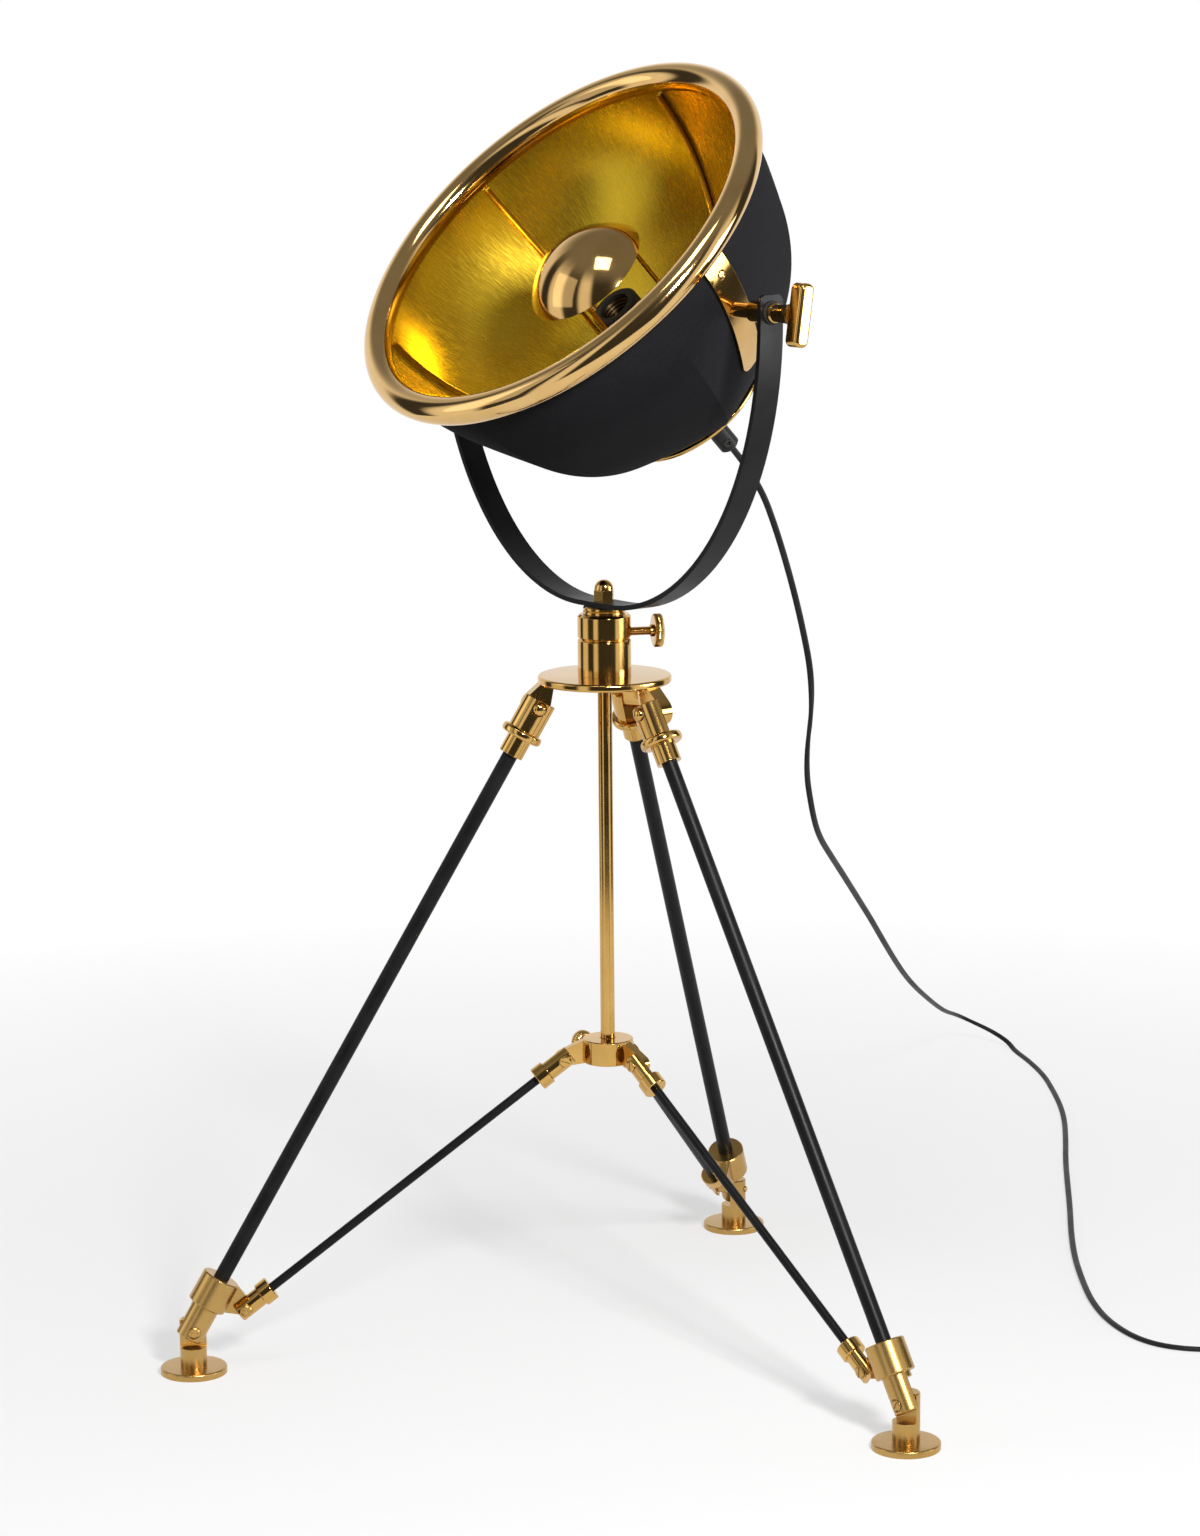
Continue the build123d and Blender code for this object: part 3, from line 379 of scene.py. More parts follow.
@dataclass(frozen=True)
class SatinCoat(Finish):
    """Black coating or moulded plastic with a fine grain and slightly rubbed patches."""

    base: Colour
    rubbed: Colour
    roughness: float
    patch: float = 30
    grain: float = 900
    grain_depth: float = 0.003
    gloss: float = 0.15

    def draw(self) -> bpy.types.Material:
        """Draw up the material's nodes.

        Returns:
            The material.
        """
        sheet = NodeSheet(self.name)
        place = sheet.place()
        patches = sheet.noise(place, self.patch, 4)
        grain = sheet.noise(place, self.grain, 2)
        sheet.paint(
            Base_Color=sheet.blended(sheet.between(patches, 0, 1, 0.4, 0.75), self.base, self.rubbed),
            Roughness=sheet.math("ADD", sheet.between(patches, -0.05, 0.06), self.roughness),
        )
        sheet.relief(grain, self.grain_depth)
        sheet.constants(Specular_IOR_Level=self.gloss)
        return sheet.surface


class Coat(Enum):
    """The lamp's finishes, each named for the record's material slot that it dresses."""

    BRASS = ("brass", PolishedMetal("satin_brass", (0.67, 0.41, 0.13), (0.57, 0.335, 0.09), 0.1))
    SATIN_BRASS = ("brass", PolishedMetal("brushed_foot_brass", (0.56, 0.35, 0.12), (0.47, 0.285, 0.085), 0.27))
    # Screw shell and contact: brass darkened in colour as painted shade, standing in for the shade deep inside the
    # holder's bore
    THREAD = ("brass", PolishedMetal("shade_darkened_thread_brass", (0.09, 0.055, 0.025), (0.04, 0.025, 0.012), 0.4))
    RIM_BRASS = ("rim_brass", PolishedMetal("rim_polished_brass", (0.76, 0.50, 0.21), (0.68, 0.43, 0.16), 0.07))
    DOME_BRASS = ("deflector_brass", PolishedMetal("dome_polished_brass", (0.72, 0.46, 0.18), (0.62, 0.38, 0.13), 0.07))
    LINING = ("lining_gold", BrushedLining("brushed_gold_lining", (0.70, 0.485, 0.035), (0.56, 0.375, 0.02), 0.23))
    TEXTILE = ("shade_textile", WovenTextile("black_shade_cloth", (0.009, 0.009, 0.0105), (0.05, 0.048, 0.05)))
    BLACK = ("black_coat", SatinCoat("satin_black_coat", (0.004, 0.004, 0.0045), (0.008, 0.008, 0.008), 0.4))
    WASHER = ("washer_black", SatinCoat("black_fibre_washer", (0.012, 0.012, 0.012), (0.022, 0.021, 0.02), 0.6))
    HOLDER = ("holder_black", SatinCoat("black_moulded_holder", (0.01, 0.01, 0.01), (0.018, 0.018, 0.018), 0.42))
    SCREW = ("screw_steel", PolishedMetal("dark_steel", (0.07, 0.07, 0.07), (0.035, 0.035, 0.035), 0.3))
    CORD = ("cord_black", SatinCoat("black_cord_sheath", (0.009, 0.009, 0.01), (0.016, 0.016, 0.016), 0.45))
    PLUG = ("plug_black", SatinCoat("black_plug_moulding", (0.012, 0.012, 0.012), (0.02, 0.02, 0.02), 0.48))
    PIN = ("plug_black", PolishedMetal("plug_pin_brass", (0.74, 0.56, 0.3), (0.66, 0.48, 0.24), 0.16))
    TIE = ("tie_black", SatinCoat("black_cord_tie", (0.014, 0.014, 0.014), (0.022, 0.022, 0.022), 0.5))

    @property
    def slot(self) -> str:
        """The record's slot name."""
        return self.value[0]

    @property
    def material(self) -> bpy.types.Material:
        """The finish's material."""
        return self.value[1].material()

    def apply(self, piece: bpy.types.Object) -> None:
        """Give a piece this finish alone."""
        piece.data.materials.clear()
        piece.data.materials.append(self.material)


class Workpiece:
    """A mesh in the making: turned, threaded, swept and gridded bodies that end as one piece."""

    def __init__(self) -> None:
        """Start with an empty mesh."""
        self.mesh = bmesh.new()
        self.flat = self.mesh.loops.layers.uv.new("flat")

    def points(self, places: Sequence[Vector]) -> list[bmesh.types.BMVert]:
        """Add a row of vertices at places in metres."""
        return [self.mesh.verts.new(place) for place in places]

    def strip(self, first: list[bmesh.types.BMVert], second: list[bmesh.types.BMVert], closed: bool = True) -> None:
        """Join two rows with quads, or with a fan where one of them is a single vertex.

        Args:
            first: One row.
            second: The next row.
            closed: Whether the rows run right round.
        """
        count = max(len(first), len(second))
        for step in range(count if closed else count - 1):
            following = (step + 1) % count
            if len(first) == 1:
                corners = (first[0], second[following], second[step])
            elif len(second) == 1:
                corners = (first[step], first[following], second[0])
            else:
                corners = (first[step], first[following], second[following], second[step])
            self.mesh.faces.new(corners)

    def turn(
        self,
        axis: Matrix,
        profile: Profile,
        segments: int = 96,
        ring: bool = False,
        wave: Callable[[float, float], float] | None = None,
    ) -> None:
        """Turn a profile round a frame's Z axis.

        Args:
            axis: The frame to turn in.
            profile: Radius and height of each point, in order.
            segments: How many steps go round.
            ring: Whether the profile is a closed loop that misses the axis.
            wave: Takes an angle and a radius and gives the radius there.
        """
        rows = []
        for radius, height in profile:
            if radius == 0:
                rows.append(self.points([axis @ Vector((0, 0, height * MM))]))
                continue
            places = []
            for step in range(segments):
                angle = math.tau * step / segments
                reach = (wave(angle, radius) if wave else radius) * MM
                places.append(axis @ Vector((reach * math.cos(angle), reach * math.sin(angle), height * MM)))
            rows.append(self.points(places))
        if ring:
            self.loop(rows)
            return
        for first, second in zip(rows, rows[1:]):
            self.strip(first, second)

    def thread_row(
        self, axis: Matrix, radius: float, height: float, pitch: float, depth: float, segments: int = 32
    ) -> list[bmesh.types.BMVert]:
        """Add one ring of a rounded screw thread.

        Args:
            axis: The frame of the thread, along its Z axis.
            radius: The radius over the thread's crests.
            height: Where the ring lies.
            pitch: The rise of one turn.
            depth: How deep its roots are.
            segments: How many steps go round.

        Returns:
            The ring's vertices.
        """
        places = []
        for step in range(segments):
            angle = math.tau * step / segments
            crest = 0.5 + 0.5 * math.cos(math.tau * height / pitch - angle)
            reach = (radius - depth * (1 - crest)) * MM
            places.append(axis @ Vector((reach * math.cos(angle), reach * math.sin(angle), height * MM)))
        return self.points(places)

    def thread(self, axis: Matrix, radius: float, low: float, high: float, pitch: float, depth: float) -> None:
        """Cut a rounded screw thread on a rod along a frame's Z axis.

        Args:
            axis: The frame of the rod.
            radius: The radius over the thread's crests.
            low: Where the thread starts.
            high: Where it ends.
            pitch: The rise of one turn.
            depth: How deep its roots are.
        """
        count = max(2, round((high - low) / pitch * THREAD_ROWS_PER_TURN))
        heights = [low + (high - low) * row / count for row in range(count + 1)]
        self.skin([self.thread_row(axis, radius, height, pitch, depth) for height in heights])

    def skin(self, rows: list[list[bmesh.types.BMVert]]) -> None:
        """Join rows in order and close both ends.

        Args:
            rows: The closed rows, all of one length.
        """
        for first, second in zip(rows, rows[1:]):
            self.strip(first, second)
        self.mesh.faces.new(list(reversed(rows[0])))
        self.mesh.faces.new(rows[-1])

    def loop(self, rows: list[list[bmesh.types.BMVert]]) -> None:
        """Join rows in order, and the last with the first."""
        for first, second in zip(rows, [*rows[1:], rows[0]]):
            self.strip(first, second)

    def sweep(self, path: Sequence[Vector], sections: Sequence[Sequence[Vector]]) -> None:
        """Skin closed sections along a path, with flat ends.

        Args:
            path: The points that the sections sit at.
            sections: The offsets of each section's corners from its point.
        """
        self.skin([self.points([centre + offset for offset in offsets]) for centre, offsets in zip(path, sections)])

    def make(self, name: str, coat: Coat, sharp: float = 35) -> bpy.types.Object:
        """End the mesh as an object in the scene.

        Args:
            name: The piece's name.
            coat: Its finish.
            sharp: The angle in degrees from which an edge stays sharp.

        Returns:
            The new object.
        """
        bmesh.ops.recalc_face_normals(self.mesh, faces=self.mesh.faces)
        data = bpy.data.meshes.new(name)
        self.mesh.to_mesh(data)
        self.mesh.free()
        for polygon in data.polygons:
            polygon.use_smooth = True
        data.set_sharp_from_angle(angle=math.radians(sharp))
        piece = bpy.data.objects.new(name, data)
        bpy.context.scene.collection.objects.link(piece)
        coat.apply(piece)
        coat.slot
        return piece


def dress(coat: Coat, *nodes: str) -> None:
    """Finish solids that stay as they are: smooth faces, crisp edges and a material.

    Args:
        coat: The finish.
        nodes: The names of the solids.
    """
    for node in nodes:
        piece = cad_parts[node]
        for polygon in piece.data.polygons:
            polygon.use_smooth = True
        weld = piece.modifiers.new("weld", "WELD")
        weld.merge_threshold = WELD_REACH * MM
        split = piece.modifiers.new("crisp_edges", "EDGE_SPLIT")
        split.split_angle = math.radians(CRISP_ANGLE)
        coat.apply(piece)
        LOG.info("dressed %s as %s", node, coat.slot)


def stand_for(piece: bpy.types.Object, body: str, *nodes: str) -> None:
    """Let a finished piece ride on a body in place of solids.

    Args:
        piece: The piece.
        body: The body that carries it.
        nodes: The solids that it stands for.
    """
    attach(piece, body)
    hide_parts(*nodes)
    LOG.info("made %s on %s", piece.name, body)


def heading_frame(heading: float, height: float) -> Matrix:
    """Give a frame on the mast axis whose Z axis points out level.

    Args:
        heading: Where it points, in degrees.
        height: How high it lies.

    Returns:
        The frame.
    """
    turn = math.radians(heading)
    out = Vector((math.cos(turn), math.sin(turn), 0))
    side = Vector((-math.sin(turn), math.cos(turn), 0))
    rows = Matrix((side, Vector((0, 0, 1)), out)).transposed().to_4x4()
    return Matrix.Translation((0, 0, height * MM)) @ rows


@dataclass(frozen=True)
class PhotoCamera:
    """The photograph's viewpoint, in metres and degrees."""

    place: Point = (2.9598, -2.3648, 1.2568)
    heading: float = 141.45
    pitch: float = -10.733
    roll: float = -0.5125
    lens: float = 128.78
    sensor: float = 36

    def build(self) -> bpy.types.Object:
        """Set the camera up.

        Returns:
            The camera, made the scene's own.
        """
        heading, pitch, roll = (math.radians(angle) for angle in (self.heading, self.pitch, self.roll))
        level = Vector((math.cos(heading), math.sin(heading), 0))
        ahead = level * math.cos(pitch) + Vector((0, 0, math.sin(pitch)))
        right = Vector((math.sin(heading), -math.cos(heading), 0))
        up = right.cross(ahead)
        right, up = right * math.cos(roll) + up * math.sin(roll), up * math.cos(roll) - right * math.sin(roll)
        data = bpy.data.cameras.new("photo_camera")
        data.lens = self.lens
        data.sensor_width = self.sensor
        data.sensor_fit = "HORIZONTAL"
        camera = bpy.data.objects.new("photo_camera", data)
        axes = Matrix((right, up, -ahead)).transposed().to_4x4()
        camera.matrix_world = Matrix.Translation(self.place) @ axes
        bpy.context.scene.collection.objects.link(camera)
        bpy.context.scene.camera = camera
        return camera


@dataclass(frozen=True)
class Softbox:
    """An area lamp, placed in metres and aimed at a point on the lamp."""

    name: str
    place: Point
    width: float
    height: float
    power: float
    aim: Point = (0, 0, 0.7)
    spread: float = 180

    def build(self) -> bpy.types.Object:
        """Hang the softbox.

        Returns:
            The softbox's object.
        """
        data = bpy.data.lights.new(self.name, "AREA")
        data.shape = "RECTANGLE"
        data.size = self.width
        data.size_y = self.height
        data.energy = self.power
        data.spread = math.radians(self.spread)
        lamp = bpy.data.objects.new(self.name, data)
        gaze = Vector(self.aim) - Vector(self.place)
        lamp.matrix_world = Matrix.Translation(self.place) @ gaze.to_track_quat("-Z", "Y").to_matrix().to_4x4()
        lamp.visible_camera = False
        bpy.context.scene.collection.objects.link(lamp)
        return lamp


@dataclass
class Studio:
    """A white sweep with a pale floor, a key softbox on the camera's right and broad fill."""

    softboxes: tuple[Softbox, ...] = (
        Softbox("key_softbox", (2.4, -0.75, 2.0), 0.4, 0.5, 105),
        Softbox("fill_softbox", (-1.2, -2.9, 1.6), 2.2, 2.2, 9),
        Softbox("side_softbox", (2.0, 1.8, 0.85), 1.1, 1.1, 3.4, (0, 0.05, 0.93), 45),
        Softbox("top_softbox", (0.7, -0.95, 2.95), 0.8, 0.8, 12),
    )
    floor_radius: float = 1.9
    floor_segments: int = 96
    shadow_reach: tuple[float, float] = (0.45, 1.8)
    floor_drop: float = 0.2
    floor_colour: Colour = (0.34, 0.34, 0.34)
    floor_grain: float = 40
    floor_dimming: float = 0.97
    floor_glow: float = 0.54
    room_light: float = 0.36
    panels: tuple[tuple[float, float], ...] = ((141.5, 52), (27, 11), (-76, 4), (-128, 9))
    panel_edge: float = 9
    wall_grey: float = 0.05
    ceiling_grey: float = 0.24
    ceiling_edges: tuple[float, float] = (0.4, 0.8)

    def build(self) -> None:
        """Light the room and lay the floor."""
        bpy.context.scene.view_settings.view_transform = "Standard"
        for softbox in self.softboxes:
            softbox.build()
        self.light_room()
        self.lay_floor()

    def light_room(self) -> None:
        """Surround the lamp with white, which polished metal sees as upright panels in a dark room."""
        sheet = RoomSheet("white_studio")
        bpy.context.scene.world = sheet.surface
        rays, axes = sheet.node("LightPath"), sheet.node("SeparateXYZ")
        sheet.link(sheet.place("Generated"), axes.inputs["Vector"])
        heading = sheet.math("ARCTAN2", axes.outputs["Y"], axes.outputs["X"])
        height = axes.outputs["Z"]
        white = 0.0
        for middle, half_width in self.panels:
            aside = sheet.math("COSINE", sheet.math("SUBTRACT", heading, math.radians(middle)))
            edges = (math.cos(math.radians(half_width + self.panel_edge)), math.cos(math.radians(half_width)))
            white = sheet.math("MAXIMUM", white, sheet.between(aside, 0, 1, *edges, smooth=True))
        white = sheet.math("MULTIPLY", white, sheet.between(height, 1, 0, *self.ceiling_edges, smooth=True))
        white = sheet.math("MULTIPLY", white, rays.outputs["Is Glossy Ray"])
        for ray in ("Is Camera Ray", "Is Transmission Ray"):
            white = sheet.math("MAXIMUM", white, rays.outputs[ray])
        dark = sheet.between(height, self.wall_grey, self.ceiling_grey, *self.ceiling_edges, smooth=True)
        plain = (self.room_light, self.room_light, self.room_light)
        room, sweep, output = sheet.node("Background"), sheet.node("Background"), sheet.node("OutputWorld")
        sheet.link(sheet.blended(rays.outputs["Is Glossy Ray"], plain, dark), room.inputs["Color"])
        sweep.inputs["Color"].default_value = (1, 1, 1, 1)
        choice = sheet.node("MixShader")
        sheet.link(white, choice.inputs["Fac"])
        sheet.link(room.outputs["Background"], choice.inputs[1])
        sheet.link(sweep.outputs["Background"], choice.inputs[2])
        sheet.link(choice.outputs["Shader"], output.inputs["Surface"])

    def lay_floor(self) -> None:
        """Lay the pale floor, which turns into the white sweep beyond the lamp's shadow."""
        sheet = NodeSheet("pale_floor")
        sheet.tree.nodes.remove(sheet.shader)
        distance = sheet.node("VectorMath", operation="LENGTH")
        sheet.link(sheet.place(), distance.inputs[0])
        near, far = self.shadow_reach
        fade = sheet.between(distance.outputs["Value"], 0, 1, near, far)
        rays = sheet.node("LightPath")
        seen = sheet.math("MAXIMUM", rays.outputs["Is Camera Ray"], rays.outputs["Is Glossy Ray"])
        seen = sheet.math("MAXIMUM", seen, rays.outputs["Is Transmission Ray"])
        grain = sheet.noise(sheet.place(), self.floor_grain)
        cloth = sheet.node("BsdfDiffuse")
        dim = tuple(self.floor_dimming * value for value in self.floor_colour)
        sheet.link(sheet.blended(grain, dim, self.floor_colour), cloth.inputs["Color"])
        glow, white, lit = sheet.node("Emission"), sheet.node("Emission"), sheet.node("AddShader")
        sheet.link(sheet.math("MULTIPLY", seen, self.floor_glow), glow.inputs["Strength"])
        sheet.link(cloth.outputs[0], lit.inputs[0])
        sheet.link(glow.outputs[0], lit.inputs[1])
        choice = sheet.node("MixShader")
        sheet.link(sheet.math("MULTIPLY", seen, fade), choice.inputs["Fac"])
        sheet.link(lit.outputs[0], choice.inputs[1])
        sheet.link(white.outputs[0], choice.inputs[2])
        sheet.link(choice.outputs[0], sheet.tree.nodes["Material Output"].inputs["Surface"])
        disc = bmesh.new()
        bmesh.ops.create_circle(disc, cap_ends=True, segments=self.floor_segments, radius=self.floor_radius)
        data = bpy.data.meshes.new("pale_floor")
        disc.to_mesh(data)
        disc.free()
        data.materials.append(sheet.surface)
        floor = bpy.data.objects.new("pale_floor", data)
        floor.location.z = -self.floor_drop * MM
        bpy.context.scene.collection.objects.link(floor)


@dataclass
class FlexCord:
    """The flat two-core lead: from the grip to the floor, round behind the lamp and out to its coil and plug."""

    width: float = 6.0
    thickness: float = 4.2
    groove: float = 0.45
    outline_steps: int = 24
    upper_length: float = 0.357
    lower_length: float = 2.71
    hanging: tuple[Point, ...] = (
        (0, 148.7, 817.3),
        (0, 180.3, 785.7),
        (3, 204, 730),
        (5, 228, 656),
        (9, 242, 584),
        (-3, 241, 512),
        (-11, 252.5, 486.5),
    )
    lying: tuple[Point, ...] = (
        (-11, 252.5, 486.5),
        (-19, 264, 461),
        (-41, 292, 430),
        (-81, 344.5, 395.8),
        (-124.8, 400.5, 361),
        (-170.8, 458.2, 325.2),
        (-216.2, 516.8, 287.8),
        (-262, 575.2, 249),
        (-308, 633.8, 210.8),
        (-353.8, 692.2, 175),
        (-399.2, 750.8, 143.2),
        (-444.8, 809, 114.8),
        (-490.5, 867.2, 87.2),
        (-537, 925.5, 61.8),
        (-582, 985, 40),
        (-583, 1009, 28),
        (-567, 1028, 16),
        (-544, 1032, 7),
        (-523, 1022, 2.2),
        (-479, 1002, 2.2),
        (-420, 969, 2.2),
        (-366, 930, 2.2),
        (-321.2, 896.2, 2.2),
        (-272.2, 855, 2.2),
        (-215, 800.2, 2.2),
        (-154, 739.5, 2.2),
        (-91.8, 680.8, 2.2),
        (-28.5, 621.5, 2.2),
        (33.8, 561.2, 2.2),
        (94, 506.2, 2.2),
        (151.2, 459.5, 2.2),
        (206, 418, 2.2),
        (260, 387, 2.2),
        (314, 371, 2.2),
        (354, 380, 2.2),
        (385, 412, 2.2),
        (416, 446, 2.2),
    )
    landing: int = 16
    route_steps: int = 10
    route_order: int = 3
    half_twist: float = -55
    untwist_run: float = 0.9
    coil_radius: float = 33
    coil_turns: int = 2
    coil_steps: int = 12
    coil_layers: tuple[Point, ...] = (
        (0, 0, 2.2),
        (25, -0.2, 2.9),
        (60, -0.5, 3.5),
        (180, -1.7, 3.3),
        (360, -3.4, 3.3),
        (540, -5.1, 3.6),
        (600, -5.4, 6.5),
        (640, -4.8, 9.4),
        (680, -2.4, 9.6),
        (720, 0, 8.2),
    )
    edge_start: float = 2.325
    edge_run: float = 0.06
    plug_height: float = 7.2
    plug_entry: float = 8
    pin_start: float = 64.5
    tie_width: float = 10
    tie_wall: float = 0.7
    tie_lift: float = 0.5
    tie_half_reach: float = 3.6
    tie_half_height: float = 3.1
    tie_corner: float = 1.4
    tie_steps: int = 40

    def build(self) -> None:
        """Make the two stretches of cord, the tie and the plug's finish."""
        tie = self.tie()
        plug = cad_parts["plug"]
        upper_line = self.route(self.hanging)
        upper = self.tube("cord_hanging", upper_line, ((0, self.half_twist),))
        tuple(upper_line[0][:])
        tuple(upper_line[-1][:])
        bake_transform(upper)
        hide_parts("cord_upper")
        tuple(upper_line[0][:])
        lower_line = self.route(self.lying + self.coil())
        on_edge = self.edge_start + self.edge_run
        turns = ((0, self.half_twist), (self.untwist_run, 0), (self.edge_start, 0), (on_edge, 90))
        lower = self.tube("cord_lying", lower_line, turns)
        below = (*lower_line[0][:2], self.lying[self.landing][2] * MM)
        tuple(lower_line[0][:])
        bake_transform(lower)
        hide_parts("cord_lower", "cord_coil")
        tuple(lower_line[0][:])
        dress(Coat.PLUG, "plug")
        self.metal_pins(plug)
        LOG.info("made %s and %s", upper.name, lower.name)

    def metal_pins(self, plug: bpy.types.Object) -> None:
        """Give the faces of the plug's two pins their metal.

        Args:
            plug: The plug's solid.
        """
        end, ahead, _ = self.last_run()
        plug.data.materials.append(Coat.PIN.material)
        for polygon in plug.data.polygons:
            along = (plug.matrix_world @ polygon.center - end * MM).dot(ahead)
            if along > self.pin_start * MM:
                polygon.material_index = 1

    def last_run(self) -> tuple[Vector, Vector, Vector]:
        """Look along the last of the lying route.

        Returns:
            Its end, its direction there and the direction of the coil's middle.
        """
        end = Vector(self.lying[-1])
        ahead = (end - Vector(self.lying[-2])).normalized()
        return end, ahead, Vector((-ahead.y, ahead.x, 0))

    def coil_point(self, angle: float) -> Vector:
        """Find a point on the coil's turns.

        Args:
            angle: The angle in degrees from where the cord comes in.

        Returns:
            The point, in millimetres.
        """
        end, ahead, left = self.last_run()
        middle = Vector((end.x, end.y, 0)) + left * self.coil_radius
        for before, after in zip(self.coil_layers, self.coil_layers[1:]):
            if angle <= after[0]:
                share = (angle - before[0]) / (after[0] - before[0])
                break
        reach = self.coil_radius + before[1] + (after[1] - before[1]) * share
        height = before[2] + (after[2] - before[2]) * share
        turn = math.radians(angle)
        return middle + (ahead * math.sin(turn) - left * math.cos(turn)) * reach + Vector((0, 0, height))

    def coil(self) -> tuple[Point, ...]:
        """Wind the coil.

        Returns:
            Its points, and a last one inside the plug's tail.
        """
        end, ahead, _ = self.last_run()
        pace = 360 / self.coil_steps
        turns = [self.coil_point(pace * step)[:] for step in range(1, self.coil_steps * self.coil_turns + 1)]
        inside = end + ahead * self.plug_entry
        return (*turns, (inside.x, inside.y, self.plug_height))

    def route(self, points: Sequence[Point]) -> list[Vector]:
        """Lay a smooth spline through the air and over the floor.

        Args:
            points: The spline's control points, in millimetres.

        Returns:
            The points of its line, in metres.
        """
        curve = bpy.data.curves.new("cord_route", "CURVE")
        curve.dimensions = "3D"
        curve.resolution_u = self.route_steps
        spline = curve.splines.new("NURBS")
        spline.points.add(len(points) - 1)
        for knot, place in zip(spline.points, points):
            knot.co = (*(Vector(place) * MM), 1)
        spline.order_u = self.route_order
        spline.use_endpoint_u = True
        holder = bpy.data.objects.new("cord_route", curve)
        line = bpy.data.meshes.new_from_object(holder)
        places = [vertex.co.copy() for vertex in line.vertices]
        bpy.data.objects.remove(holder)
        bpy.data.curves.remove(curve)
        bpy.data.meshes.remove(line)
        return places

    def section(self) -> list[tuple[float, float]]:
        """Draw the grooved outline of two cores side by side.

        Returns:
            The offsets of its points across and up, in millimetres.
        """
        core = self.thickness / 2
        centre = self.width / 2 - core
        outline = []
        for step in range(self.outline_steps):
            angle = math.tau * (step + 0.5) / self.outline_steps
            across = math.copysign(centre, math.cos(angle)) + core * math.cos(angle)
            up = core * math.sin(angle)
            dip = max(0.0, 1 - abs(across) / centre)
            outline.append((across, up - math.copysign(self.groove * dip, up)))
        return outline

    def tube(self, name: str, line: Sequence[Vector], turns: Profile) -> bpy.types.Object:
        """Skin the cord's section along a line.

        Args:
            name: The piece's name.
            line: The points of its centreline.
            turns: Lengths along it in metres and how far it has turned from lying flat there, in degrees.

        Returns:
            The cord.
        """
        outline = self.section()
        upright = Vector((0, 0, 1))
        along = 0.0
        sections = []
        for index, place in enumerate(line):
            before, after = line[max(index - 1, 0)], line[min(index + 1, len(line) - 1)]
            along += (place - before).length
            ahead = (after - before).normalized()
            flat = upright.cross(ahead).normalized()
            up = ahead.cross(flat)
            turn = math.radians(self.turned(turns, along))
            across = flat * math.cos(turn) + up * math.sin(turn)
            over = up * math.cos(turn) - flat * math.sin(turn)
            sections.append([(across * x + over * y) * MM for x, y in outline])
        work = Workpiece()
        work.sweep(line, sections)
        return work.make(name, Coat.CORD, sharp=60)

    def turned(self, turns: Profile, along: float) -> float:
        """Give the turn at a length along the cord, eased from one given turn to the next.

        Args:
            turns: Lengths along the cord and the turn at each.
            along: The length to read at.

        Returns:
            The turn in degrees.
        """
        for (start, first), (end, second) in zip(turns, turns[1:]):
            if along <= end:
                share = (along - start) / (end - start)
                return first + (second - first) * share * share * (3 - 2 * share)
        return turns[-1][1]

    def tie(self) -> bpy.types.Object:
        """Wrap the tie round the coil's turns opposite the place where the cord comes in.

        Returns:
            The tie.
        """
        first, second = self.coil_point(180), self.coil_point(540)
        middle = (first + second) / 2 + Vector((0, 0, self.tie_lift))
        outward = (first - second).normalized()
        outward.z = 0
        along = outward.cross(Vector((0, 0, 1))).normalized()
        half_reach, half_height = self.tie_half_reach - self.tie_corner, self.tie_half_height - self.tie_corner
        work = Workpiece()
        rows = []
        for side, grow in ((-1, 0), (-1, self.tie_wall), (1, self.tie_wall), (1, 0)):
            bend = self.tie_corner + grow
            places = []
            for step in range(self.tie_steps):
                angle = math.tau * step / self.tie_steps
                across = math.copysign(half_reach, math.cos(angle)) + bend * math.cos(angle)
                up = math.copysign(half_height, math.sin(angle)) + bend * math.sin(angle)
                offset = outward * across + Vector((0, 0, up)) + along * side * self.tie_width / 2
                places.append((middle + offset) * MM)
            rows.append(work.points(places))
        work.loop(rows)
        piece = work.make("coil_band", Coat.TIE)
        stand_for(piece, "stand", "coil_tie")
        return piece


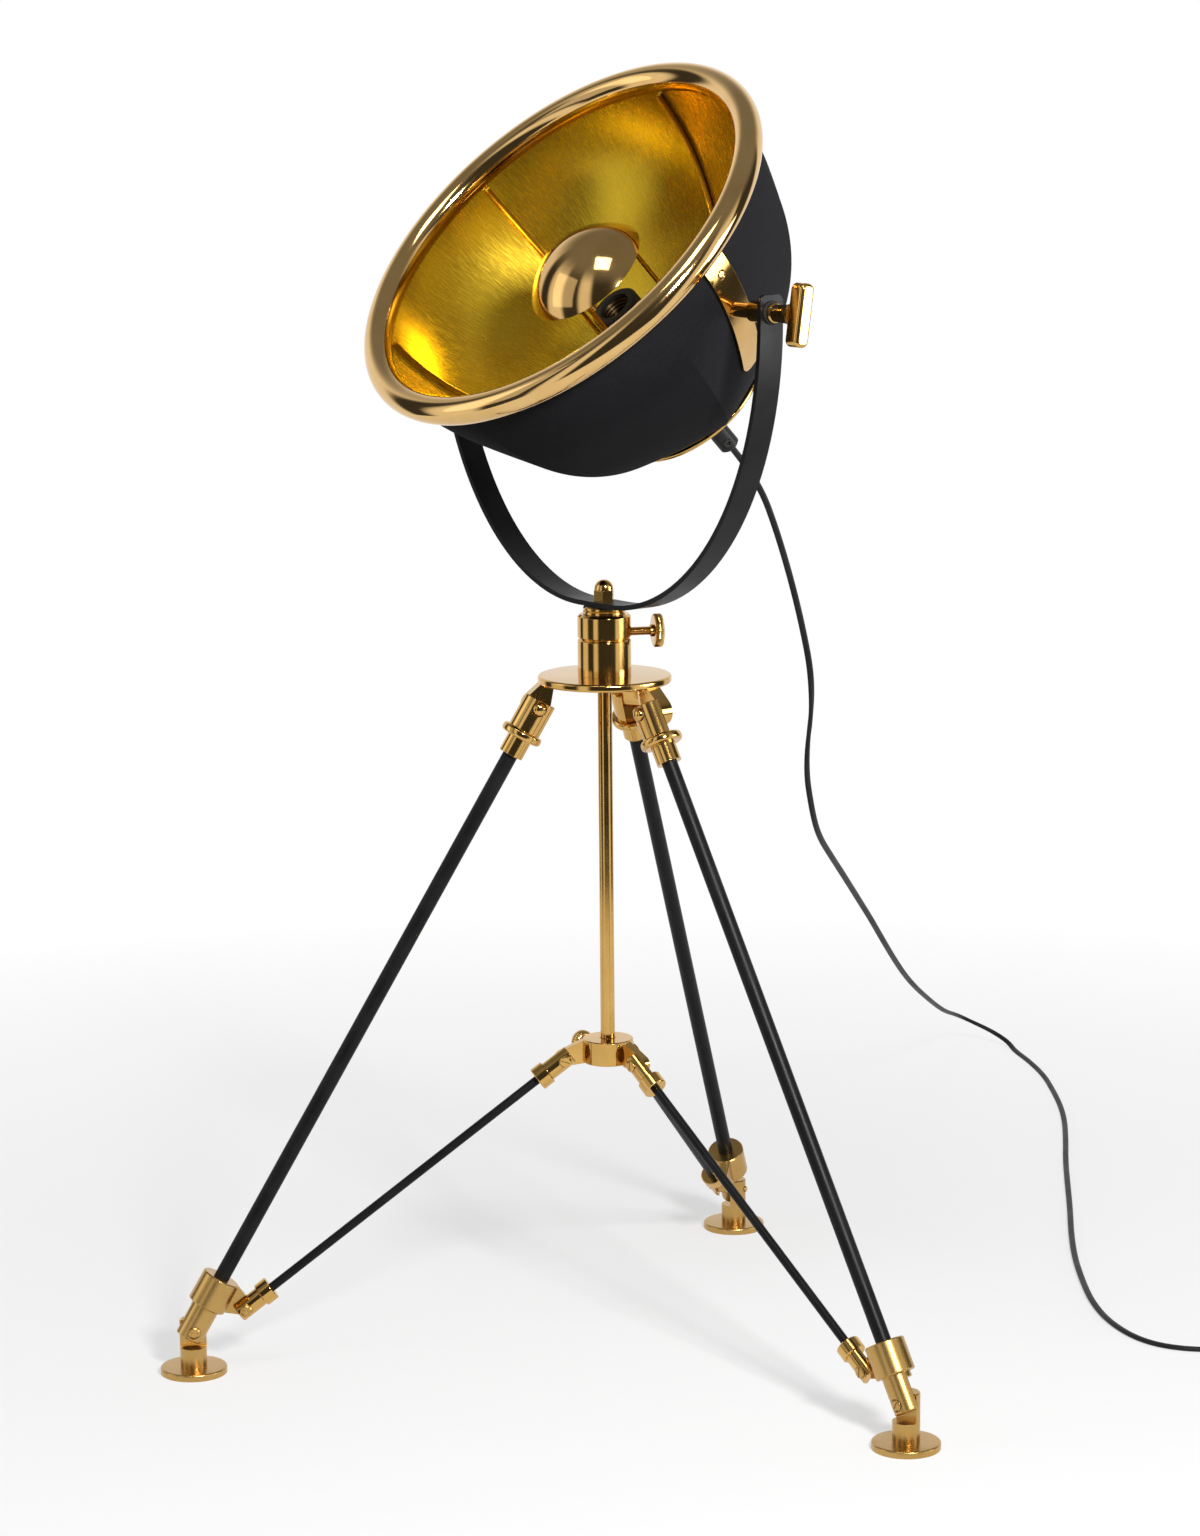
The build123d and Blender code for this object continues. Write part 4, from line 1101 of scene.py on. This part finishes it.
@dataclass
class Shade:
    """The tilted head's bowl: six cloth gores, gold lining, ribs, tubular rim and the dome in front of the holder."""

    pivot_height: float = 960
    tilt: float = 45
    rim_offset: float = 69.243
    axis_rise: float = 4.243
    rim_radius: float = 195
    rim_tube: float = 12.5
    rim_wall: float = 1.5
    rim_steps: int = 40
    rim_segments: int = 240
    arc_depth: float = 7.4
    arc_offset: float = -38
    arc_radius: float = 230.1
    front: float = 9
    back: float = 205
    gores: int = 6
    first_crease: float = 40
    back_flatness: float = 0.75
    flattening_share: float = 0.6
    cloth: tuple[float, float] = (0, 2)
    lining: tuple[float, float] = (2.3, 3.3)
    rib_radius: float = 2.5
    rib_steps: int = 48
    rib_sides: int = 16
    face_gap: float = 0.3
    dome_radius: float = 57
    dome_height: float = 31
    dome_edge: float = 40
    dome_wall: float = 1.5
    dome_steps: int = 40
    dome_segments: int = 160
    cap_radius: float = 76
    cap_thickness: float = 3.5
    cap_bore: float = 5.05
    cap_segments: int = 144
    sweep_steps: int = 40
    gore_steps: int = 20
    crease_angle: float = 7
    axis: Matrix = field(init=False)

    def __post_init__(self) -> None:
        """Set the frame on the rim's middle, with Z out of the mouth and depths negative."""
        lean = math.radians(self.tilt)
        out = Vector((0, -math.cos(lean), math.sin(lean)))
        up = Vector((0, math.sin(lean), math.cos(lean)))
        axes = Matrix((Vector((1, 0, 0)), up, out)).transposed().to_4x4()
        middle = Vector((0, 0, self.pivot_height)) + out * self.rim_offset + up * self.axis_rise
        self.axis = Matrix.Translation(middle * MM) @ axes

    def build(self) -> None:
        """Make the bowl's pieces."""
        self.rim()
        self.bowl("shade_cloth", self.cloth, Coat.TEXTILE, "shade_shell")
        self.bowl("shade_gold_lining", self.lining, Coat.LINING, "shade_lining")
        self.ribs()
        self.dome()
        self.cap()

    def sweep_at(self, depth: float) -> float:
        """Give the angle along the bowl's arc at a depth behind the rim."""
        return math.asin((depth - self.arc_depth) / self.arc_radius)

    def section(self, sweep: float, inset: float) -> tuple[float, list[tuple[float, float, float]]]:
        """Work out a ring of the six-sided bowl.

        Args:
            sweep: The angle along the bowl's arc.
            inset: How far inside the cloth's outer face the ring lies.

        Returns:
            The ring's depth, and the angle, x and y of each of its points.
        """
        half = math.pi / self.gores
        reach = self.arc_radius - inset
        depth = self.arc_depth + reach * math.sin(sweep)
        crease = self.arc_offset + reach * math.cos(sweep)
        share = min(1.0, max(0.0, sweep / (self.flattening_share * self.sweep_at(self.back))))
        flat = self.back_flatness * share * share * (3 - 2 * share)
        middle = crease * (1 - flat * (1 - math.cos(half)))
        rise = middle - crease * math.cos(half)
        bow = ((crease * math.sin(half)) ** 2 + rise**2) / (2 * rise)
        spread = math.asin(min(1.0, crease * math.sin(half) / bow))
        ring = []
        for gore in range(self.gores):
            heading = math.radians(self.first_crease) + half * (2 * gore + 1)
            for step in range(self.gore_steps):
                share = 2 * step / self.gore_steps - 1
                along, side = middle - bow + bow * math.cos(share * spread), bow * math.sin(share * spread)
                x = along * math.cos(heading) - side * math.sin(heading)
                y = along * math.sin(heading) + side * math.cos(heading)
                ring.append((heading + share * half, x, y))
        return depth, ring

    def bowl(self, name: str, walls: tuple[float, float], coat: Coat, node: str) -> None:
        """Make one closed skin of the bowl with flat coordinates in metres.

        Args:
            name: The piece's name.
            walls: How far its outer and inner faces lie inside the cloth's outer face.
            coat: Its finish.
            node: The solid that it stands for.
        """
        start, end = self.sweep_at(self.front), self.sweep_at(self.back)
        sweeps = [start + (end - start) * step / self.sweep_steps for step in range(self.sweep_steps + 1)]
        rings = [(sweep, walls[0]) for sweep in sweeps] + [(sweep, walls[1]) for sweep in reversed(sweeps)]
        work = Workpiece()
        laid: dict[bmesh.types.BMVert, tuple[float, float]] = {}
        rows = []
        for sweep, inset in rings:
            depth, ring = self.section(sweep, inset)
            row = work.points([self.axis @ (Vector((x, y, -depth)) * MM) for _, x, y in ring])
            for vertex, (angle, _, _) in zip(row, ring):
                laid[vertex] = (angle * self.rim_radius * MM, sweep * self.arc_radius * MM)
            rows.append(row)
        work.loop(rows)
        seam = math.tau * self.rim_radius * MM
        for face in work.mesh.faces:
            widest = max(laid[corner.vert][0] for corner in face.loops)
            for corner in face.loops:
                across, along = laid[corner.vert]
                corner[work.flat].uv = (across + seam if widest - across > seam / 2 else across, along)
        stand_for(work.make(name, coat, sharp=self.crease_angle), "head", node)

    def ribs(self) -> None:
        """Run a round bead down each crease, inside the lining."""
        reach = self.arc_radius - self.lining[1] - self.face_gap - self.rib_radius
        start = math.asin((self.rim_tube + self.face_gap - self.arc_depth) / reach)
        end = self.sweep_at(self.back)
        corners = [math.tau * corner / self.rib_sides for corner in range(self.rib_sides)]
        work = Workpiece()
        turn = self.axis.to_3x3()
        for gore in range(self.gores):
            heading = math.radians(self.first_crease) + math.tau * gore / self.gores
            away = Vector((math.cos(heading), math.sin(heading), 0))
            side = Vector((-math.sin(heading), math.cos(heading), 0))
            path, sections = [], []
            for step in range(self.rib_steps + 1):
                sweep = start + (end - start) * step / self.rib_steps
                out = away * math.cos(sweep) - Vector((0, 0, math.sin(sweep)))
                place = away * self.arc_offset - Vector((0, 0, self.arc_depth)) + out * reach
                path.append(self.axis @ (place * MM))
                round_out = [out * math.cos(angle) + side * math.sin(angle) for angle in corners]
                sections.append([turn @ offset * self.rib_radius * MM for offset in round_out])
            work.sweep(path, sections)
        stand_for(work.make("shade_crease_beads", Coat.RIM_BRASS), "head", "shade_ribs")

    def rim(self) -> None:
        """Roll the rim's tube, open at the back where the cloth's edge goes in."""
        skin = self.lining[1] - self.cloth[0]
        slot_reach = self.arc_offset + self.arc_radius - skin / 2 - self.rim_radius
        slot_angle = math.pi + math.acos(-slot_reach / self.rim_tube)
        half_slot = (skin / 2 + self.face_gap) / self.rim_tube
        first, last = slot_angle + half_slot, slot_angle - half_slot + math.tau
        profile = []
        for radius, flip in ((self.rim_tube, False), (self.rim_tube - self.rim_wall, True)):
            steps = range(self.rim_steps + 1)
            for step in reversed(steps) if flip else steps:
                angle = first + (last - first) * step / self.rim_steps
                profile.append((self.rim_radius + radius * math.cos(angle), radius * math.sin(angle)))
        work = Workpiece()
        work.turn(self.axis, profile, self.rim_segments, ring=True)
        stand_for(work.make("rim_tube", Coat.RIM_BRASS), "head", "rim_ring")

    def dome(self) -> None:
        """Spin the polished dome that hides the holder."""
        sphere = (self.dome_radius**2 + self.dome_height**2) / (2 * self.dome_height)
        centre = sphere - self.dome_height + self.dome_edge
        inner = sphere - self.dome_wall
        spread = math.asin(self.dome_radius / sphere)
        lip = math.acos((centre - self.dome_edge) / inner)
        shares = [step / self.dome_steps for step in range(self.dome_steps + 1)]
        profile = []
        for radius, edge, order in ((sphere, spread, shares), (inner, lip, reversed(shares))):
            for share in order:
                profile.append((radius * math.sin(edge * share), radius * math.cos(edge * share) - centre))
        work = Workpiece()
        work.turn(self.axis, profile, self.dome_segments)
        stand_for(work.make("polished_dome", Coat.DOME_BRASS), "head", "deflector")

    def cap(self) -> None:
        """Turn the rear cap with a rolled edge."""
        front = -self.back - self.face_gap
        rear = front - self.cap_thickness
        profile = [
            (self.cap_bore, front),
            (self.cap_radius - 1, front),
            (self.cap_radius - 0.3, front - 0.3),
            (self.cap_radius, front - 1),
            (self.cap_radius, rear + 1),
            (self.cap_radius - 0.3, rear + 0.3),
            (self.cap_radius - 1, rear),
            (14, rear),
            (self.cap_bore, rear),
        ]
        work = Workpiece()
        work.turn(self.axis, profile, self.cap_segments, ring=True)
        stand_for(work.make("rear_cap_disc", Coat.BRASS, sharp=30), "head", "rear_cap")


@dataclass
class HeadFittings:
    """The small parts on the head: holder, rods, straps, screws, bosses and the cord grip."""

    shade: Shade
    thread_radius: float = 14.4
    thread_root: float = 13.2
    thread_pitch: float = 3.62
    thread_front: float = 88
    thread_length: float = 38
    thread_rows: int = 84
    thread_segments: int = 48
    shell_wall: float = 0.5
    contact_depth: float = 132
    contact_segments: int = 32

    def build(self) -> None:
        """Make the holder's thread and dress the rest."""
        self.screw_shell()
        dress(Coat.HOLDER, "lampholder", "cord_grip")
        dress(Coat.BRASS, "cap_nut", "nipple", "deflector_rods", "side_straps", "strap_screws", "pivot_bosses")
        dress(Coat.SCREW, "grip_screw")

    def screw_shell(self) -> None:
        """Roll the brass screw shell inside the holder, and its middle contact."""
        work = Workpiece()
        axis, depth = self.shade.axis, self.thread_radius - self.thread_root
        shares = [row / self.thread_rows for row in range(self.thread_rows + 1)]
        rows = []
        for radius, order in (
            (self.thread_radius, shares),
            (self.thread_radius - self.shell_wall, reversed(shares)),
        ):
            for share in order:
                height = -self.thread_front - self.thread_length * share
                rows.append(work.thread_row(axis, radius, height, self.thread_pitch, depth, self.thread_segments))
        work.loop(rows)
        floor = -self.contact_depth
        contact = [(0, floor), (4, floor), (4, floor + 1.6), (3.4, floor + 2.6), (2, floor + 3), (0, floor + 3)]
        work.turn(axis, contact, self.contact_segments)
        # The shell and contact take the dark brass whose colour paints the shade inside the holder's bore
        stand_for(work.make("holder_thread", Coat.THREAD, sharp=40), "head", "holder_shell")


@dataclass
class ThumbScrews:
    """The two knurled screws that clamp the spindle and the sliding hub."""

    clamp_heading: float = 62.4
    clamp_height: float = 662
    clamp_start: float = 15.3
    clamp_radius: float = 4
    clamp_pitch: float = 1.25
    clamp_thread_depth: float = 0.6
    clamp_reach: float = 44.6
    clamp_head: float = 15
    clamp_head_thickness: float = 7.8
    clamp_knurls: int = 56
    hub_heading: float = 182.4
    hub_height: float = 279
    hub_start: float = 6.8
    hub_thread: float = 3
    hub_pitch: float = 1.0
    hub_thread_depth: float = 0.5
    hub_reach: float = 30
    hub_knob: float = 10.5
    hub_knurls: int = 30
    knurl_depth: float = 0.55

    def build(self) -> None:
        """Make both screws."""
        self.clamp()
        self.hub()

    def knurl(self, count: int, least: float) -> Callable[[float, float], float]:
        """Give a wave that notches a rim.

        Args:
            count: How many notches go round.
            least: The radius from which points are notched.

        Returns:
            The wave, for a turned profile.
        """

        def notch(angle: float, radius: float) -> float:
            """Notch a radius at an angle.

            Args:
                angle: The angle.
                radius: The radius there before it is notched.

            Returns:
                The notched radius.
            """
            if radius < least:
                return radius
            return radius - self.knurl_depth * (0.5 + 0.5 * math.cos(count * angle)) ** 2

        return notch

    def clamp(self) -> None:
        """Turn the spindle's clamp screw: thread, neck and a wide knurled head."""
        axis = heading_frame(self.clamp_heading, self.clamp_height)
        reach, head, end = self.clamp_reach, self.clamp_head, self.clamp_reach + self.clamp_head_thickness
        work = Workpiece()
        work.thread(axis, self.clamp_radius, self.clamp_start, reach - 2, self.clamp_pitch, self.clamp_thread_depth)
        profile = [
            (0, reach - 3),
            (self.clamp_radius + 1.1, reach - 3),
            (self.clamp_radius + 1.5, reach - 2.6),
            (self.clamp_radius + 1.5, reach),
            (head - 1.6, reach),
            (head - 0.7, reach + 0.3),
            (head, reach + 1.1),
            (head, end - 1.1),
            (head - 0.7, end - 0.3),
            (head - 1.6, end),
            (head - 4.5, end),
            (head - 5, end - 0.5),
            (3, end - 0.5),
            (0, end - 0.5),
        ]
        work.turn(axis, profile, 4 * self.clamp_knurls, wave=self.knurl(self.clamp_knurls, head - 1))
        stand_for(work.make("clamp_thumb_screw", Coat.BRASS, sharp=40), "clamp_screw", "mast_screw")

    def hub(self) -> None:
        """Turn the hub's screw: thread and a small domed knob."""
        axis = heading_frame(self.hub_heading, self.hub_height)
        reach, knob = self.hub_reach, self.hub_knob
        work = Workpiece()
        work.thread(axis, self.hub_thread, self.hub_start, reach + 1, self.hub_pitch, self.hub_thread_depth)
        profile = [
            (0, reach),
            (knob - 3, reach),
            (knob - 1.2, reach + 1.1),
            (knob, reach + 3),
            (knob, reach + 8),
            (knob - 1, reach + 9.8),
            (knob - 2.7, reach + 11.2),
            (knob - 6, reach + 12.5),
            (knob - 9, reach + 12.9),
            (0, reach + 13),
        ]
        work.turn(axis, profile, 6 * self.hub_knurls, wave=self.knurl(self.hub_knurls, knob - 0.5))
        stand_for(work.make("hub_thumb_screw", Coat.BRASS, sharp=40), "hub_clamp", "hub_screw")


@dataclass
class Stand:
    """The tripod, the mast and the yoke, whose solids stay as they are under their finishes."""

    brass: tuple[str, ...] = ("top_plate", "top_pins", "mast_socket", "centre_rod", "hub", "hub_pins")
    yoke_brass: tuple[str, ...] = ("spindle", "acorn_nut", "wing_knob_right", "wing_knob_left")
    leg_polished: tuple[str, ...] = ("leg_ferrule", "stretcher_ends")
    leg_satin: tuple[str, ...] = ("leg_knee", "ankle_pin", "foot", "ear_pin")
    leg_black: tuple[str, ...] = ("leg_rod", "stretcher_rod")

    def build(self) -> None:
        """Dress the stand's solids."""
        dress(Coat.BRASS, *self.brass, *self.yoke_brass)
        dress(Coat.BLACK, "yoke_strip")
        dress(Coat.WASHER, "yoke_washers")
        for number in LEGS:
            dress(Coat.BRASS, *(f"{piece}_{number}" for piece in self.leg_polished))
            dress(Coat.SATIN_BRASS, *(f"{piece}_{number}" for piece in self.leg_satin))
            dress(Coat.BLACK, *(f"{piece}_{number}" for piece in self.leg_black))


def main() -> None:
    """Build the scene."""
    logging.basicConfig(level=logging.INFO, format="%(message)s")
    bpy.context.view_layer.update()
    PhotoCamera().build()
    FlexCord().build()
    shade = Shade()
    shade.build()
    HeadFittings(shade).build()
    ThumbScrews().build()
    Stand().build()
    Studio().build()


if __name__ == "__main__":
    main()
